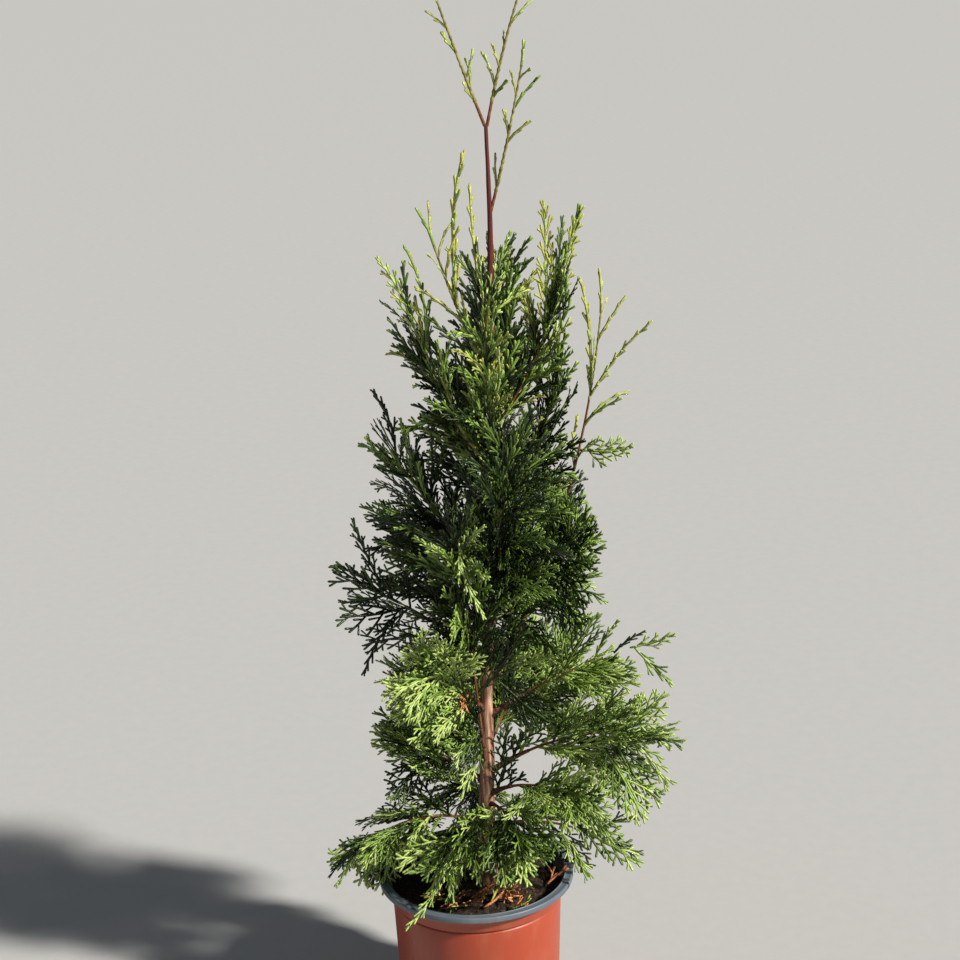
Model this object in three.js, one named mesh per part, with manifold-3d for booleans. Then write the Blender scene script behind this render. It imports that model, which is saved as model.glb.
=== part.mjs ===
// A young thuja, a small evergreen conifer with flat fern-like sprays, standing in a round
// thermoformed nursery pot. Millimetres, +Z up. The origin is the centre of the pot's flat
// underside, +X is to the right as the plant is seen from the front, and -Y is the front.
//
// The plant is built the way it grows: a leaning trunk on the potting soil, boughs that leave
// the trunk at their own heights and bearings, and on each bough a mass of foliage. A mass is a
// thin three-sided stem with sprays on both sides, and each spray is a toothed blade, the
// outline of a pinnate thuja frond. Every mass keeps to the space nearest its own stem.

import * as THREE from "three";
import { mergeVertices } from "three/addons/utils/BufferGeometryUtils.js";
import Module from "manifold-3d";

const wasm = await Module();
wasm.setup();

// Clearance between pieces that touch on the real plant.
const GAP = 0.3;

// The pot: a thin tapered wall with a stepped band at the top and a broad turned lip.
const POT = {
  height: 160,
  baseRadius: 77,
  wallTopRadius: 82.6,
  bandRadius: 84,
  flareRadius: 89.5,
  bandHeight: 23,
  footRound: 3,
  wall: 1.5,
  floor: 2,
  sides: 32,
};
const LIP = { outerRadius: 95, width: 9, depth: 6, round: 1.3 };
const DRAIN = { count: 8, radius: 6.5, innerReach: 62, sides: 8 };

// The soil fills the pot to a little under the lip, and is flat round the trunk's foot.
const SOIL = { edge: 146, crest: 149.5, crestRadius: 32 };

// The trunk: its foot stands off the pot's centre, and it leans and wavers on its way up.
const TRUNK = {
  footRadius: 9,
  tipRadius: 1.5,
  taper: 0.61,
  flare: 4,
  flareHeight: 13,
  sides: 8,
  steps: 13,
  crowding: 1.5,
  line: [
    [10.8, -0.2, SOIL.crest - 6],
    [14, 3, 260],
    [17, 4, 360],
    [25, 1, 480],
    [33, -2, 590],
    [32, 0, 735],
    [34, 1, 800],
    [33, 0, 894],
  ],
};

// Boughs are tapering limbs, and stems carry a mass on from a bough's tip.
const BOUGH = { footRadius: 2.8, tipRadius: 1.5, sides: 4, steps: 3, crowding: 1 };
const STEM = { footRadius: 1.45, tipRadius: 0.9, sides: 3, steps: 3, crowding: 1 };

// Sprays: how the toothed blade of a frond is cut, and how fronds stand on a stem.
const FROND = {
  thickness: 1.3,
  widthShare: 0.6,
  toothAngle: 40,
  spineHalfWidth: 1.3,
  toothStart: 0.12,
  standAngle: 46,
  droop: 0.1,
  sink: 0.8,
  mostCrossing: 0.5,
  lastShare: 0.72,
};
const OWN_SPACE_MARGIN = 1.2;

// What is tried for a spray, the longest first and each length at several rolls.
const FROND_TRIES = [1, 0.88, 0.76, 0.64, 0.52, 0.42].flatMap((share) =>
  [0, 20, -20, 45, -45, 75, -75].map((roll) => ({ share, roll })),
);

// Each mass: the height where its limb leaves the trunk, its bearing (0 is right, 90 is back,
// 180 is left, 270 is front), how far out and how high its tip reaches, how steeply the limb
// sets off, the share of the limb that is bare bough, and its sprays: how many, how long, and
// how the fan of sprays is rolled about the limb (0 is level, 90 is upright). A limb with no
// foot height stands on the trunk's cut tip.
const MASSES = [
  { name: "skirt_left", foot: 208, bearing: 184, reach: 156, tip: 172, rise: 30, bare: 0.22, sprays: 5, spray: 96, roll: 60 },
  { name: "skirt_right", foot: 203, bearing: 350, reach: 150, tip: 176, rise: 26, bare: 0.26, sprays: 4, spray: 94, roll: 50 },
  { name: "skirt_front", foot: 232, bearing: 302, reach: 80, tip: 198, rise: 20, bare: 0.2, sprays: 4, spray: 72, roll: 0 },
  { name: "skirt_front_left", foot: 220, bearing: 236, reach: 94, tip: 172, rise: 24, bare: 0.2, sprays: 4, spray: 76, roll: 30 },
  { name: "skirt_back", foot: 214, bearing: 100, reach: 126, tip: 190, rise: 24, bare: 0.22, sprays: 4, spray: 101, roll: 10 },

  { name: "low_left", foot: 326, bearing: 230, reach: 100, tip: 404, rise: 56, bare: 0.2, sprays: 6, spray: 94, roll: 62 },
  { name: "low_left_outer", foot: 252, bearing: 178, reach: 112, tip: 300, rise: 44, bare: 0.2, sprays: 5, spray: 96, roll: 85 },
  { name: "low_right_high", foot: 322, bearing: 2, reach: 182, tip: 398, rise: 34, bare: 0.24, sprays: 6, spray: 105, roll: 80 },
  { name: "low_right", foot: 262, bearing: 350, reach: 188, tip: 312, rise: 40, bare: 0.26, sprays: 6, spray: 105, roll: 80 },
  { name: "low_right_front", foot: 240, bearing: 322, reach: 140, tip: 262, rise: 38, bare: 0.26, sprays: 5, spray: 92, roll: 50 },
  { name: "low_back_left", foot: 284, bearing: 134, reach: 128, tip: 330, rise: 40, bare: 0.22, sprays: 4, spray: 108, roll: 30 },
  { name: "low_back_right", foot: 290, bearing: 58, reach: 132, tip: 342, rise: 40, bare: 0.22, sprays: 4, spray: 108, roll: 30 },

  { name: "mid_left", foot: 374, bearing: 184, reach: 146, tip: 476, rise: 52, bare: 0.18, sprays: 7, spray: 100, roll: 85 },
  { name: "mid_left_high", foot: 462, bearing: 176, reach: 98, tip: 616, rise: 52, bare: 0.16, sprays: 6, spray: 99, roll: 80 },
  { name: "mid_right", foot: 424, bearing: 348, reach: 98, tip: 536, rise: 48, bare: 0.2, sprays: 5, spray: 96, roll: 80 },
  { name: "mid_front", foot: 262, bearing: 252, reach: 60, tip: 540, rise: 76, bare: 0.2, sprays: 6, spray: 92, roll: 8 },
  { name: "mid_back_left", foot: 398, bearing: 128, reach: 112, tip: 520, rise: 46, bare: 0.2, sprays: 4, spray: 108, roll: 30 },
  { name: "mid_back_right", foot: 412, bearing: 56, reach: 112, tip: 536, rise: 46, bare: 0.2, sprays: 4, spray: 108, roll: 30 },

  { name: "right_riser", foot: 348, bearing: 10, reach: 122, tip: 756, rise: 60, bare: 0.5, sprays: 5, spray: 58, roll: 80 },
  { name: "high_front", foot: 428, bearing: 286, reach: 72, tip: 634, rise: 58, bare: 0.14, sprays: 7, spray: 98, roll: 8 },
  { name: "high_right", foot: 520, bearing: 10, reach: 68, tip: 690, rise: 52, bare: 0.18, sprays: 5, spray: 94, roll: 80 },
  { name: "high_back", foot: 516, bearing: 106, reach: 76, tip: 676, rise: 50, bare: 0.18, sprays: 5, spray: 99, roll: 20 },

  { name: "upper_left", foot: 560, bearing: 180, reach: 84, tip: 772, rise: 58, bare: 0.14, sprays: 7, spray: 78, roll: 85 },
  { name: "upper_left_shoot", foot: 650, bearing: 190, reach: 60, tip: 824, rise: 66, bare: 0, sprays: 4, spray: 57, roll: 85 },
  { name: "upper_right", foot: 616, bearing: 2, reach: 76, tip: 820, rise: 54, bare: 0, sprays: 6, spray: 76, roll: 85 },
  { name: "upper_front", foot: 572, bearing: 262, reach: 50, tip: 776, rise: 58, bare: 0, sprays: 5, spray: 84, roll: 8 },
  { name: "upper_back", foot: 606, bearing: 84, reach: 52, tip: 790, rise: 58, bare: 0, sprays: 5, spray: 81, roll: 20 },

  { name: "leader_side", foot: 812, bearing: 352, reach: 36, tip: 966, rise: 74, bare: 0, sprays: 4, spray: 32, roll: 80 },
  { name: "leader_left", foot: null, bearing: 184, reach: 46, tip: 1030, rise: 70, bare: 0, sprays: 3, spray: 30, roll: 85 },
  { name: "leader_right", foot: null, bearing: 2, reach: 40, tip: 1032, rise: 78, bare: 0, sprays: 3, spray: 30, roll: 85 },
];

// The crown's own outline: how far it reaches to the left and to the right at each height.
// It is as deep as it is wide, up to a limit.
const CROWN = [
  { height: 140, left: -139, right: 118 },
  { height: 155, left: -144, right: 128 },
  { height: 178, left: -146, right: 162 },
  { height: 198, left: -125, right: 150 },
  { height: 209, left: -110, right: 144 },
  { height: 224, left: -94, right: 178 },
  { height: 240, left: -90, right: 184 },
  { height: 277, left: -88, right: 200 },
  { height: 309, left: -92, right: 206 },
  { height: 350, left: -92, right: 198 },
  { height: 382, left: -94, right: 196 },
  { height: 404, left: -102, right: 200 },
  { height: 424, left: -106, right: 168 },
  { height: 440, left: -116, right: 138 },
  { height: 460, left: -124, right: 132 },
  { height: 484, left: -130, right: 130 },
  { height: 500, left: -118, right: 134 },
  { height: 532, left: -106, right: 124 },
  { height: 560, left: -86, right: 116 },
  { height: 609, left: -92, right: 108 },
  { height: 630, left: -78, right: 106 },
  { height: 677, left: -62, right: 104 },
  { height: 724, left: -66, right: 104 },
  { height: 778, left: -68, right: 112 },
  { height: 818, left: -42, right: 120 },
  { height: 830, left: -36, right: 90 },
  { height: 860, left: -20, right: 84 },
  { height: 900, left: -16, right: 76 },
];
const CROWN_SLACK = 5;
const CROWN_DEPTH = 124;
const WHIPS = ["right_riser", "upper_left_shoot", "leader_side", "leader_left", "leader_right"];

const COLOURS = {
  terracotta: { color: 0xc8553a, roughness: 0.5 },
  lipGrey: { color: 0x8a949c, roughness: 0.45 },
  soil: { color: 0x2b211b, roughness: 0.95 },
  bark: { color: 0x8a5a41, roughness: 0.85 },
  foliage: { color: 0x4d7a2c, roughness: 0.6 },
};

const UP = new THREE.Vector3(0, 0, 1);
const radians = THREE.MathUtils.degToRad;
const mix = THREE.MathUtils.lerp;

// A small seeded random generator, one for each mass, so every build is the same.
function seeded(seed) {
  let state = seed >>> 0;
  return () => {
    state = (state + 0x6d2b79f5) >>> 0;
    let t = state;
    t = Math.imul(t ^ (t >>> 15), t | 1);
    t ^= t + Math.imul(t ^ (t >>> 7), t | 61);
    return ((t ^ (t >>> 14)) >>> 0) / 4294967296;
  };
}

// Geometry to a closed solid and back. Only positions matter, with shared vertices merged.
function toSolid(geometry) {
  const bare = geometry.clone();
  bare.deleteAttribute("normal");
  bare.deleteAttribute("uv");
  const merged = mergeVertices(bare, 1e-3);
  const vertProperties = merged.attributes.position.array;
  const triVerts = new Uint32Array(merged.index.array);
  return new wasm.Manifold(new wasm.Mesh({ numProp: 3, vertProperties, triVerts }));
}

function toGeometry(solid) {
  const { vertProperties, triVerts } = solid.getMesh();
  const geometry = new THREE.BufferGeometry();
  geometry.setAttribute("position", new THREE.BufferAttribute(new Float32Array(vertProperties), 3));
  geometry.setIndex(new THREE.BufferAttribute(new Uint32Array(triVerts), 1));
  geometry.computeVertexNormals();
  return geometry;
}

// The largest body of a fused solid: loose scraps go, and a sealed hollow is filled.
function wholePiece(solid) {
  return solid.decompose().reduce((best, body) => (body.volume() > best.volume() ? body : best));
}

// A lathe about +Z from a closed profile of [radius, height] pairs.
function turned(profile, sides) {
  const points = profile.map(([radius, height]) => new THREE.Vector2(radius, height));
  return toSolid(new THREE.LatheGeometry(points, sides).rotateX(Math.PI / 2));
}

// A cylinder bent along a curve from one share of its length to another. Its rings stand square
// to the curve, crowd towards its foot if asked, and take their size from radiusAt.
function limb(curve, from, to, radiusAt, { sides, steps, crowding }) {
  const geometry = new THREE.CylinderGeometry(1, 1, 1, sides, steps).rotateX(Math.PI / 2);
  const position = geometry.attributes.position;
  const offset = new THREE.Vector3();
  for (let i = 0; i < position.count; i++) {
    offset.fromBufferAttribute(position, i);
    const ring = Math.round((offset.z + 0.5) * steps);
    const share = Math.pow(ring / steps, crowding);
    const { point, side, lift } = frameOn(curve, mix(from, to, share));
    const radius = radiusAt(share);
    point.addScaledVector(side, offset.x * radius).addScaledVector(lift, offset.y * radius);
    position.setXYZ(i, point.x, point.y, point.z);
  }
  return toSolid(geometry);
}

function frameOn(curve, t) {
  const point = curve.getPoint(t);
  const tangent = curve.getTangent(t);
  const side = new THREE.Vector3().crossVectors(UP, tangent).normalize();
  const lift = new THREE.Vector3().crossVectors(tangent, side).normalize();
  return { point, tangent, side, lift };
}

// The pot's wall, turned in one piece, with half-round drain arches cut through its foot.
function makePotWall() {
  const band = POT.height - POT.bandHeight;
  const seat = POT.height - LIP.depth - GAP;
  const wall = turned(
    [
      [0, 0],
      [POT.baseRadius - POT.footRound, 0],
      [POT.baseRadius, POT.footRound],
      [POT.wallTopRadius, band - 2],
      [POT.wallTopRadius - 0.9, band],
      [POT.bandRadius, band + 2],
      [POT.bandRadius + 1.6, band + 9],
      [POT.flareRadius, seat],
      [POT.flareRadius - POT.wall, seat],
      [POT.bandRadius + 1.6 - POT.wall, band + 9.5],
      [POT.wallTopRadius - POT.wall - 0.9, band],
      [POT.baseRadius - POT.wall, POT.floor],
      [0, POT.floor],
    ],
    POT.sides,
  );
  const arches = [];
  for (let i = 0; i < DRAIN.count; i++) {
    const reach = POT.baseRadius + 5 - DRAIN.innerReach;
    const arch = new THREE.CylinderGeometry(DRAIN.radius, DRAIN.radius, reach, DRAIN.sides)
      .rotateZ(Math.PI / 2)
      .translate(DRAIN.innerReach + reach / 2, 0, -0.5)
      .rotateZ(((i + 0.5) / DRAIN.count) * 2 * Math.PI);
    arches.push(toSolid(arch));
  }
  return wall.subtract(wasm.Manifold.union(arches));
}

// The turned lip that lies on the wall's top edge.
function makePotRim() {
  const { outerRadius: outer, width, depth, round } = LIP;
  const [top, bottom, inner] = [POT.height, POT.height - depth, outer - width];
  return turned(
    [
      [inner, bottom],
      [outer - round, bottom],
      [outer, bottom + round],
      [outer, top - round],
      [outer - round, top],
      [inner + round, top],
      [inner, top - round],
      [inner, bottom],
    ],
    POT.sides,
  );
}

// The root ball and soil, one filled solid inside the wall.
function makeSoil() {
  const inside = (radius) => radius - POT.wall - GAP - 0.2;
  return turned(
    [
      [0, POT.floor + GAP],
      [inside(POT.baseRadius), POT.floor + GAP],
      [inside(POT.wallTopRadius - 0.9), POT.height - POT.bandHeight],
      [inside(POT.bandRadius + 1.2), SOIL.edge],
      [SOIL.crestRadius, SOIL.crest],
      [0, SOIL.crest],
    ],
    POT.sides,
  );
}

const trunkLine = new THREE.CatmullRomCurve3(TRUNK.line.map((p) => new THREE.Vector3(...p)));

// The trunk, grown by a margin when it is used to cut the limbs that meet it.
function makeTrunk(margin = 0) {
  const height = TRUNK.line.at(-1)[2] - SOIL.crest;
  const radiusAt = (share) =>
    mix(TRUNK.footRadius, TRUNK.tipRadius, Math.pow(share, TRUNK.taper)) +
    TRUNK.flare * Math.exp((-share * height) / TRUNK.flareHeight) +
    margin;
  return limb(trunkLine, 0, 1, radiusAt, TRUNK).trimByPlane([0, 0, 1], SOIL.crest + GAP - margin);
}

// Where the trunk's middle is at a height.
function trunkAt(height) {
  const [low, high] = [trunkLine.getPoint(0).z, trunkLine.getPoint(1).z];
  let t = (height - low) / (high - low);
  for (let i = 0; i < 20; i++) t += (height - trunkLine.getPoint(t).z) / (high - low);
  return trunkLine.getPoint(t);
}

// The two leaders stand side by side on the trunk's cut tip.
const forkPoint = (out) =>
  trunkLine.getPoint(1).addScaledVector(out, STEM.footRadius + GAP / 2).addScaledVector(UP, GAP);

// The line a mass's limb follows: off from the trunk at its rise, then bending to its tip.
function limbLine(mass) {
  const out = new THREE.Vector3(Math.cos(radians(mass.bearing)), Math.sin(radians(mass.bearing)), 0);
  const foot = mass.foot ? trunkAt(mass.foot) : forkPoint(out);
  const tip = foot.clone().addScaledVector(out, mass.reach).setZ(mass.tip);
  const half = foot.distanceTo(tip) / 2;
  const elbow = foot
    .clone()
    .addScaledVector(out, half * Math.cos(radians(mass.rise)))
    .addScaledVector(UP, half * Math.sin(radians(mass.rise)));
  return new THREE.QuadraticBezierCurve3(foot, elbow, tip);
}

// A frond's outline in its own plane: a spine along +X with slanting teeth on both sides, each
// tooth from one notch to the next, longest a third of the way up.
function frondOutline(length, teeth) {
  const slant = radians(FROND.toothAngle);
  const start = FROND.toothStart * length;
  const pitch = ((length - start) * 0.84) / teeth;
  const spine = (x) => FROND.spineHalfWidth * (1 - (0.55 * x) / length);
  const edge = (offset) => {
    const points = [];
    for (let i = 0; i < teeth; i++) {
      const x = start + (i + offset) * pitch;
      const share = (0.94 * (i + offset + 0.5)) / teeth;
      const width = 0.5 * FROND.widthShare * length * Math.sin(Math.PI * Math.pow(share, 0.66));
      points.push([x, spine(x)]);
      points.push([x + 0.4 * pitch + width / Math.tan(slant), spine(x) + width]);
    }
    const last = start + (teeth + offset) * pitch;
    return [...points, [last, spine(last)]];
  };
  const mirrored = edge(0.7).map(([x, y]) => [x, -y]);
  const outline = new THREE.Shape();
  outline.moveTo(-FROND.sink, -FROND.spineHalfWidth);
  mirrored.forEach(([x, y]) => outline.lineTo(x, y));
  outline.lineTo(length, 0);
  edge(0).reverse().forEach(([x, y]) => outline.lineTo(x, y));
  outline.lineTo(-FROND.sink, FROND.spineHalfWidth);
  return outline;
}

// One frond: its outline extruded to a blade, stood at a point in a plane, and drooped.
function makeFrond({ root, along, across }, length) {
  const depth = Math.max(FROND.thickness, length / 60);
  const outline = frondOutline(length, teethFor(length));
  const blade = new THREE.ExtrudeGeometry(outline, { depth, bevelEnabled: false });
  blade.translate(0, 0, -depth / 2);
  const normal = new THREE.Vector3().crossVectors(along, across);
  const frame = new THREE.Matrix4().makeBasis(along, across, normal).setPosition(root);
  const position = blade.attributes.position;
  const vertex = new THREE.Vector3();
  for (let i = 0; i < position.count; i++) {
    vertex.fromBufferAttribute(position, i);
    const sag = FROND.droop * length * Math.pow(Math.max(0, vertex.x) / length, 2);
    vertex.applyMatrix4(frame).addScaledVector(UP, -sag);
    position.setXYZ(i, vertex.x, vertex.y, vertex.z);
  }
  return { blade, corners: cornersOf(blade) };
}

function cornersOf(geometry) {
  const position = geometry.attributes.position;
  const corner = (_, i) => new THREE.Vector3().fromBufferAttribute(position, i);
  return Array.from({ length: position.count }, corner);
}

// Teeth on each side of a frond: about one for each 25 mm of its length.
const teethFor = (length) => THREE.MathUtils.clamp(Math.round(length / 25), 2, 4);

// The rule for where sprays stand. Down the stem they alternate from side to side, shorten
// towards its tip, and roll about it a little at random; the last one carries the stem on.
function sprayPlaces(mass, stem, random) {
  const places = [];
  const sides = mass.sprays - 1;
  for (let i = 0; i < sides; i++) {
    const t = mix(stem.from, stem.to, (i + 0.6) / (sides + 0.2));
    const hand = i % 2 ? -1 : 1;
    const roll = mass.roll + mix(-24, 24, random());
    const stand = FROND.standAngle + mix(-8, 8, random());
    const length = mass.spray * mix(1, 0.72, i / sides) * mix(0.88, 1.08, random());
    places.push({ t, hand, roll, stand, length });
  }
  places.push({ t: stem.to, hand: 1, roll: mass.roll, stand: 0, length: mass.spray * FROND.lastShare });
  return places;
}

// Turns a place on the stem into the frond's own directions.
function frondFrame(curve, place, rollOffset) {
  const { point, tangent, side, lift } = frameOn(curve, place.t);
  const roll = radians(place.roll + rollOffset);
  const wing = side.clone().multiplyScalar(Math.cos(roll)).addScaledVector(lift, Math.sin(roll));
  wing.multiplyScalar(place.hand);
  const stand = radians(place.stand);
  const along = tangent.clone().multiplyScalar(Math.cos(stand)).addScaledVector(wing, Math.sin(stand));
  const across = wing.clone().multiplyScalar(Math.cos(stand)).addScaledVector(tangent, -Math.sin(stand));
  return { root: point, along, across };
}

// Each mass's limb, and the points that mark the space round its stem.
const limbs = MASSES.map((mass) => {
  const curve = limbLine(mass);
  const reach = curve.getLength();
  const from = mass.bare ? mass.bare + GAP / reach : 0;
  const stem = { from, to: 1 - (mass.spray * FROND.lastShare) / reach };
  const marks = Array.from({ length: 15 }, (_, i) => curve.getPoint(mix(stem.from, 1, i / 14)));
  return { mass, curve, stem, marks };
});

// A spray's corners are in its mass's own space when each is nearer to that mass's stem than
// to any other's.
function inOwnSpace(corners, own) {
  const nearest = (point, marks) => Math.min(...marks.map((mark) => mark.distanceTo(point)));
  return corners.every((corner) => {
    const home = nearest(corner, own.marks);
    return limbs.every((other) => other === own || nearest(corner, other.marks) > home + OWN_SPACE_MARGIN);
  });
}

// How far the crown reaches to one side at a height, between the heights that are given.
function crownReach(height, side) {
  const above = CROWN.findIndex((level) => level.height > height);
  if (above === 0) return CROWN[0][side];
  if (above < 0) return CROWN.at(-1)[side];
  const [low, high] = [CROWN[above - 1], CROWN[above]];
  return mix(low[side], high[side], (height - low.height) / (high.height - low.height));
}

function insideCrown(corner) {
  const left = crownReach(corner.z, "left") - CROWN_SLACK;
  const right = crownReach(corner.z, "right") + CROWN_SLACK;
  const depth = Math.min((right - left) / 2, CROWN_DEPTH);
  return corner.x > left && corner.x < right && Math.abs(corner.y) < depth;
}

// True for a corner that would touch the pot's lip, or the soil inside it.
function inPotOrSoil(corner) {
  const radius = Math.hypot(corner.x, corner.y);
  const overLip = radius > LIP.outerRadius - LIP.width - 2;
  const surface = overLip ? POT.height : SOIL.crest;
  return radius < LIP.outerRadius + 2 && corner.z < surface + 1.5;
}

// Grows one mass: its stem, then every spray that fits, tried whole and then shorter or
// turned, and skipped where it would leave its space or the crown, or touch a limb or the pot.
// Only the whips may stand out of the crown.
function growMass(own, index, solidLimbs) {
  const { mass, curve, stem } = own;
  const random = seeded(1000 + index * 77);
  const radiusAt = (share) => mix(STEM.footRadius, STEM.tipRadius, share);
  const free = WHIPS.includes(mass.name);
  const sprays = [];
  for (const place of sprayPlaces(mass, stem, random)) {
    for (const { share, roll } of FROND_TRIES) {
      const { blade, corners } = makeFrond(frondFrame(curve, place, roll), place.length * share);
      if (corners.some(inPotOrSoil) || !inOwnSpace(corners, own)) continue;
      if (!free && !corners.every(insideCrown)) continue;
      const solid = toSolid(blade);
      if (solidLimbs.some((other) => other.minGap(solid, 1) < GAP)) continue;
      if (sprays.some((other) => other.intersect(solid).volume() > FROND.mostCrossing)) continue;
      sprays.push(solid);
      break;
    }
  }
  return wasm.Manifold.union([limb(curve, stem.from, stem.to, radiusAt, STEM), ...sprays]);
}

const potted = new THREE.Group();
function place(name, solid, finish) {
  const material = new THREE.MeshStandardMaterial(COLOURS[finish]);
  const mesh = new THREE.Mesh(toGeometry(wholePiece(solid)), material);
  mesh.name = name;
  potted.add(mesh);
}

place("pot_wall", makePotWall(), "terracotta");
place("pot_rim", makePotRim(), "lipGrey");
place("potting_soil", makeSoil(), "soil");

const trunk = makeTrunk();
const trunkClearance = makeTrunk(GAP + 0.05);
place("trunk", trunk, "bark");

// The bare boughs, each cut clear of the trunk where it leaves it.
const boughs = limbs
  .filter(({ mass }) => mass.bare > 0)
  .map(({ mass, curve }) => {
    const thick = mix(0.8, 1.15, Math.min(1, mass.reach / 180));
    const radiusAt = (share) => mix(BOUGH.footRadius, BOUGH.tipRadius, share) * thick;
    const solid = limb(curve, 0, mass.bare, radiusAt, BOUGH).subtract(trunkClearance);
    place("bough_" + mass.name, solid, "bark");
    return solid;
  });

limbs.forEach((own, index) => {
  const solid = growMass(own, index, [trunk, ...boughs]).subtract(trunkClearance);
  place("foliage_" + own.mass.name, solid, "foliage");
});

export default potted;
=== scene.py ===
# %% [markdown]
# # A young thuja in a nursery pot
#
# The plant is an evergreen with flat, fern-like sprays, about 0.9 m tall over the soil of a
# thin plastic pot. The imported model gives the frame: where the pot, the trunk and each limb
# stand. This script keeps that frame and grows the real surface over it. It starts by
# loading the frame and noting its box, because the finished plant may pass it by only a few
# millimetres.

import math

import bmesh
import bpy
import numpy as np
from mathutils import Matrix, Vector, noise


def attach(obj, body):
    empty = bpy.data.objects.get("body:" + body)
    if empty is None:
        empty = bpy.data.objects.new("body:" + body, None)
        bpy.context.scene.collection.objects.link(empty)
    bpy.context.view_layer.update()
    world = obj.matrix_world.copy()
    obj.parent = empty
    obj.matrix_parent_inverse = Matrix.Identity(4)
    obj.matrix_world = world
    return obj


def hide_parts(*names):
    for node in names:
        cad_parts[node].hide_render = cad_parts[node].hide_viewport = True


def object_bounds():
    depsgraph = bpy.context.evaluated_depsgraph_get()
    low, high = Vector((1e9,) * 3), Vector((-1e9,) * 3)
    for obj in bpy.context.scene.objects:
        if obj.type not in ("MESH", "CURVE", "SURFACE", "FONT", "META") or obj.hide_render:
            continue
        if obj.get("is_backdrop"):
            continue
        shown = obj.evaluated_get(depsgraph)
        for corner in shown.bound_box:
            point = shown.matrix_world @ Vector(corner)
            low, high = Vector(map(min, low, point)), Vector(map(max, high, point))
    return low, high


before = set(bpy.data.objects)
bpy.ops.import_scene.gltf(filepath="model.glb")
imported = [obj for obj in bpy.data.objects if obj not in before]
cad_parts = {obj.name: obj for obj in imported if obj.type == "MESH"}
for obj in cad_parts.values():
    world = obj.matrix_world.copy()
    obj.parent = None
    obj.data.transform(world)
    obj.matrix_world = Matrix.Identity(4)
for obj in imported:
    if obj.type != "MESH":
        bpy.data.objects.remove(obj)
cad_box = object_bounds()
MM = 0.001
print("frame:", len(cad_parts), "nodes, box", [list(corner) for corner in cad_box])

# %% [markdown]
# ## Camera
#
# The photograph looks down on the plant from about two metres away and a little over its
# top, through a long lens, with the camera slightly out of level. A camera could be aimed
# with a constraint, but one matrix states the height, the downward pitch and the roll
# exactly, and nothing has to be evaluated later.

# %% Camera
CAMERA_PLACE = Vector((0.0171, -2.0158, 1.2454))
CAMERA_PITCH = math.radians(90 - 18.676)
CAMERA_ROLL = math.radians(-2.0)
SENSOR_WIDTH = 36
PHOTO_WIDTH, FOCAL_LENGTH = 960, 2300  # pixels
CAMERA_LENS = SENSOR_WIDTH * FOCAL_LENGTH / PHOTO_WIDTH

camera_data = bpy.data.cameras.new("camera")
camera_data.sensor_width = SENSOR_WIDTH
camera_data.lens = CAMERA_LENS
camera = bpy.data.objects.new("camera", camera_data)
bpy.context.scene.collection.objects.link(camera)
camera_turn = Matrix.Rotation(CAMERA_PITCH, 4, "X") @ Matrix.Rotation(CAMERA_ROLL, 4, "Z")
camera.matrix_world = Matrix.Translation(CAMERA_PLACE) @ camera_turn
bpy.context.scene.camera = camera
print("camera lens:", round(CAMERA_LENS, 2), "mm")

# %% [markdown]
# ## Materials in general
#
# Nothing on a plant or a used pot has one flat colour. Every finish here is a Principled
# shader whose colour moves between a few close tones, driven by noise on the object's own
# coordinates, with a fine bump. One helper builds the noise and its colour ramp, so each
# finish only states its tones, its grain size and how strongly the grain stands out.


# %% Helpers for materials
def new_finish(name, roughness):
    material = bpy.data.materials.new(name)
    material.use_nodes = True
    shader = material.node_tree.nodes["Principled BSDF"]
    shader.inputs["Roughness"].default_value = roughness
    return material, material.node_tree.nodes, material.node_tree.links, shader


def noise_on_object(nodes, links, scale, stretch=(1, 1, 1), detail=4.0):
    place = nodes.new("ShaderNodeTexCoord")
    mapping = nodes.new("ShaderNodeMapping")
    mapping.inputs["Scale"].default_value = stretch
    texture = nodes.new("ShaderNodeTexNoise")
    texture.inputs["Scale"].default_value = scale
    texture.inputs["Detail"].default_value = detail
    links.new(place.outputs["Object"], mapping.inputs["Vector"])
    links.new(mapping.outputs["Vector"], texture.inputs["Vector"])
    return texture.outputs["Fac"]


def ramp(nodes, links, factor, stops):
    node = nodes.new("ShaderNodeValToRGB")
    band = node.color_ramp
    while len(band.elements) < len(stops):
        band.elements.new(0.5)
    for element, (position, colour) in zip(band.elements, stops):
        element.position = position
        element.color = (*colour, 1)
    links.new(factor, node.inputs["Fac"])
    return node.outputs["Color"]


def blend_colours(nodes, links, factor, low, high):
    node = nodes.new("ShaderNodeMix")
    node.data_type = "RGBA"
    links.new(factor, node.inputs["Factor"])
    links.new(low, node.inputs["A"])
    links.new(high, node.inputs["B"])
    return node.outputs["Result"]


def add_bump(nodes, links, shader, height, strength, distance):
    bump = nodes.new("ShaderNodeBump")
    bump.inputs["Strength"].default_value = strength
    bump.inputs["Distance"].default_value = distance
    links.new(height, bump.inputs["Height"])
    links.new(bump.outputs["Normal"], shader.inputs["Normal"])


# %% [markdown]
# ## Moulded plastic: terracotta and grey
#
# The pot is pressed from one sheet with two colours, terracotta outside and blue-grey inside
# and on the lip. New plastic is even, but this one has stood in a nursery, so it carries a
# patchy film of dust and watering marks. Large soft noise mixes the dust in, and a fine noise
# breaks the gloss.


# %% Plastic finishes
BODY_GRAIN, FILM_GRAIN, SCUFF_GRAIN = 9, 34, 420  # noise per metre
FILM_FROM, FILM_FULL = 0.5, 0.78
POLISH, SCUFF = 0.08, 0.12


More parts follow.
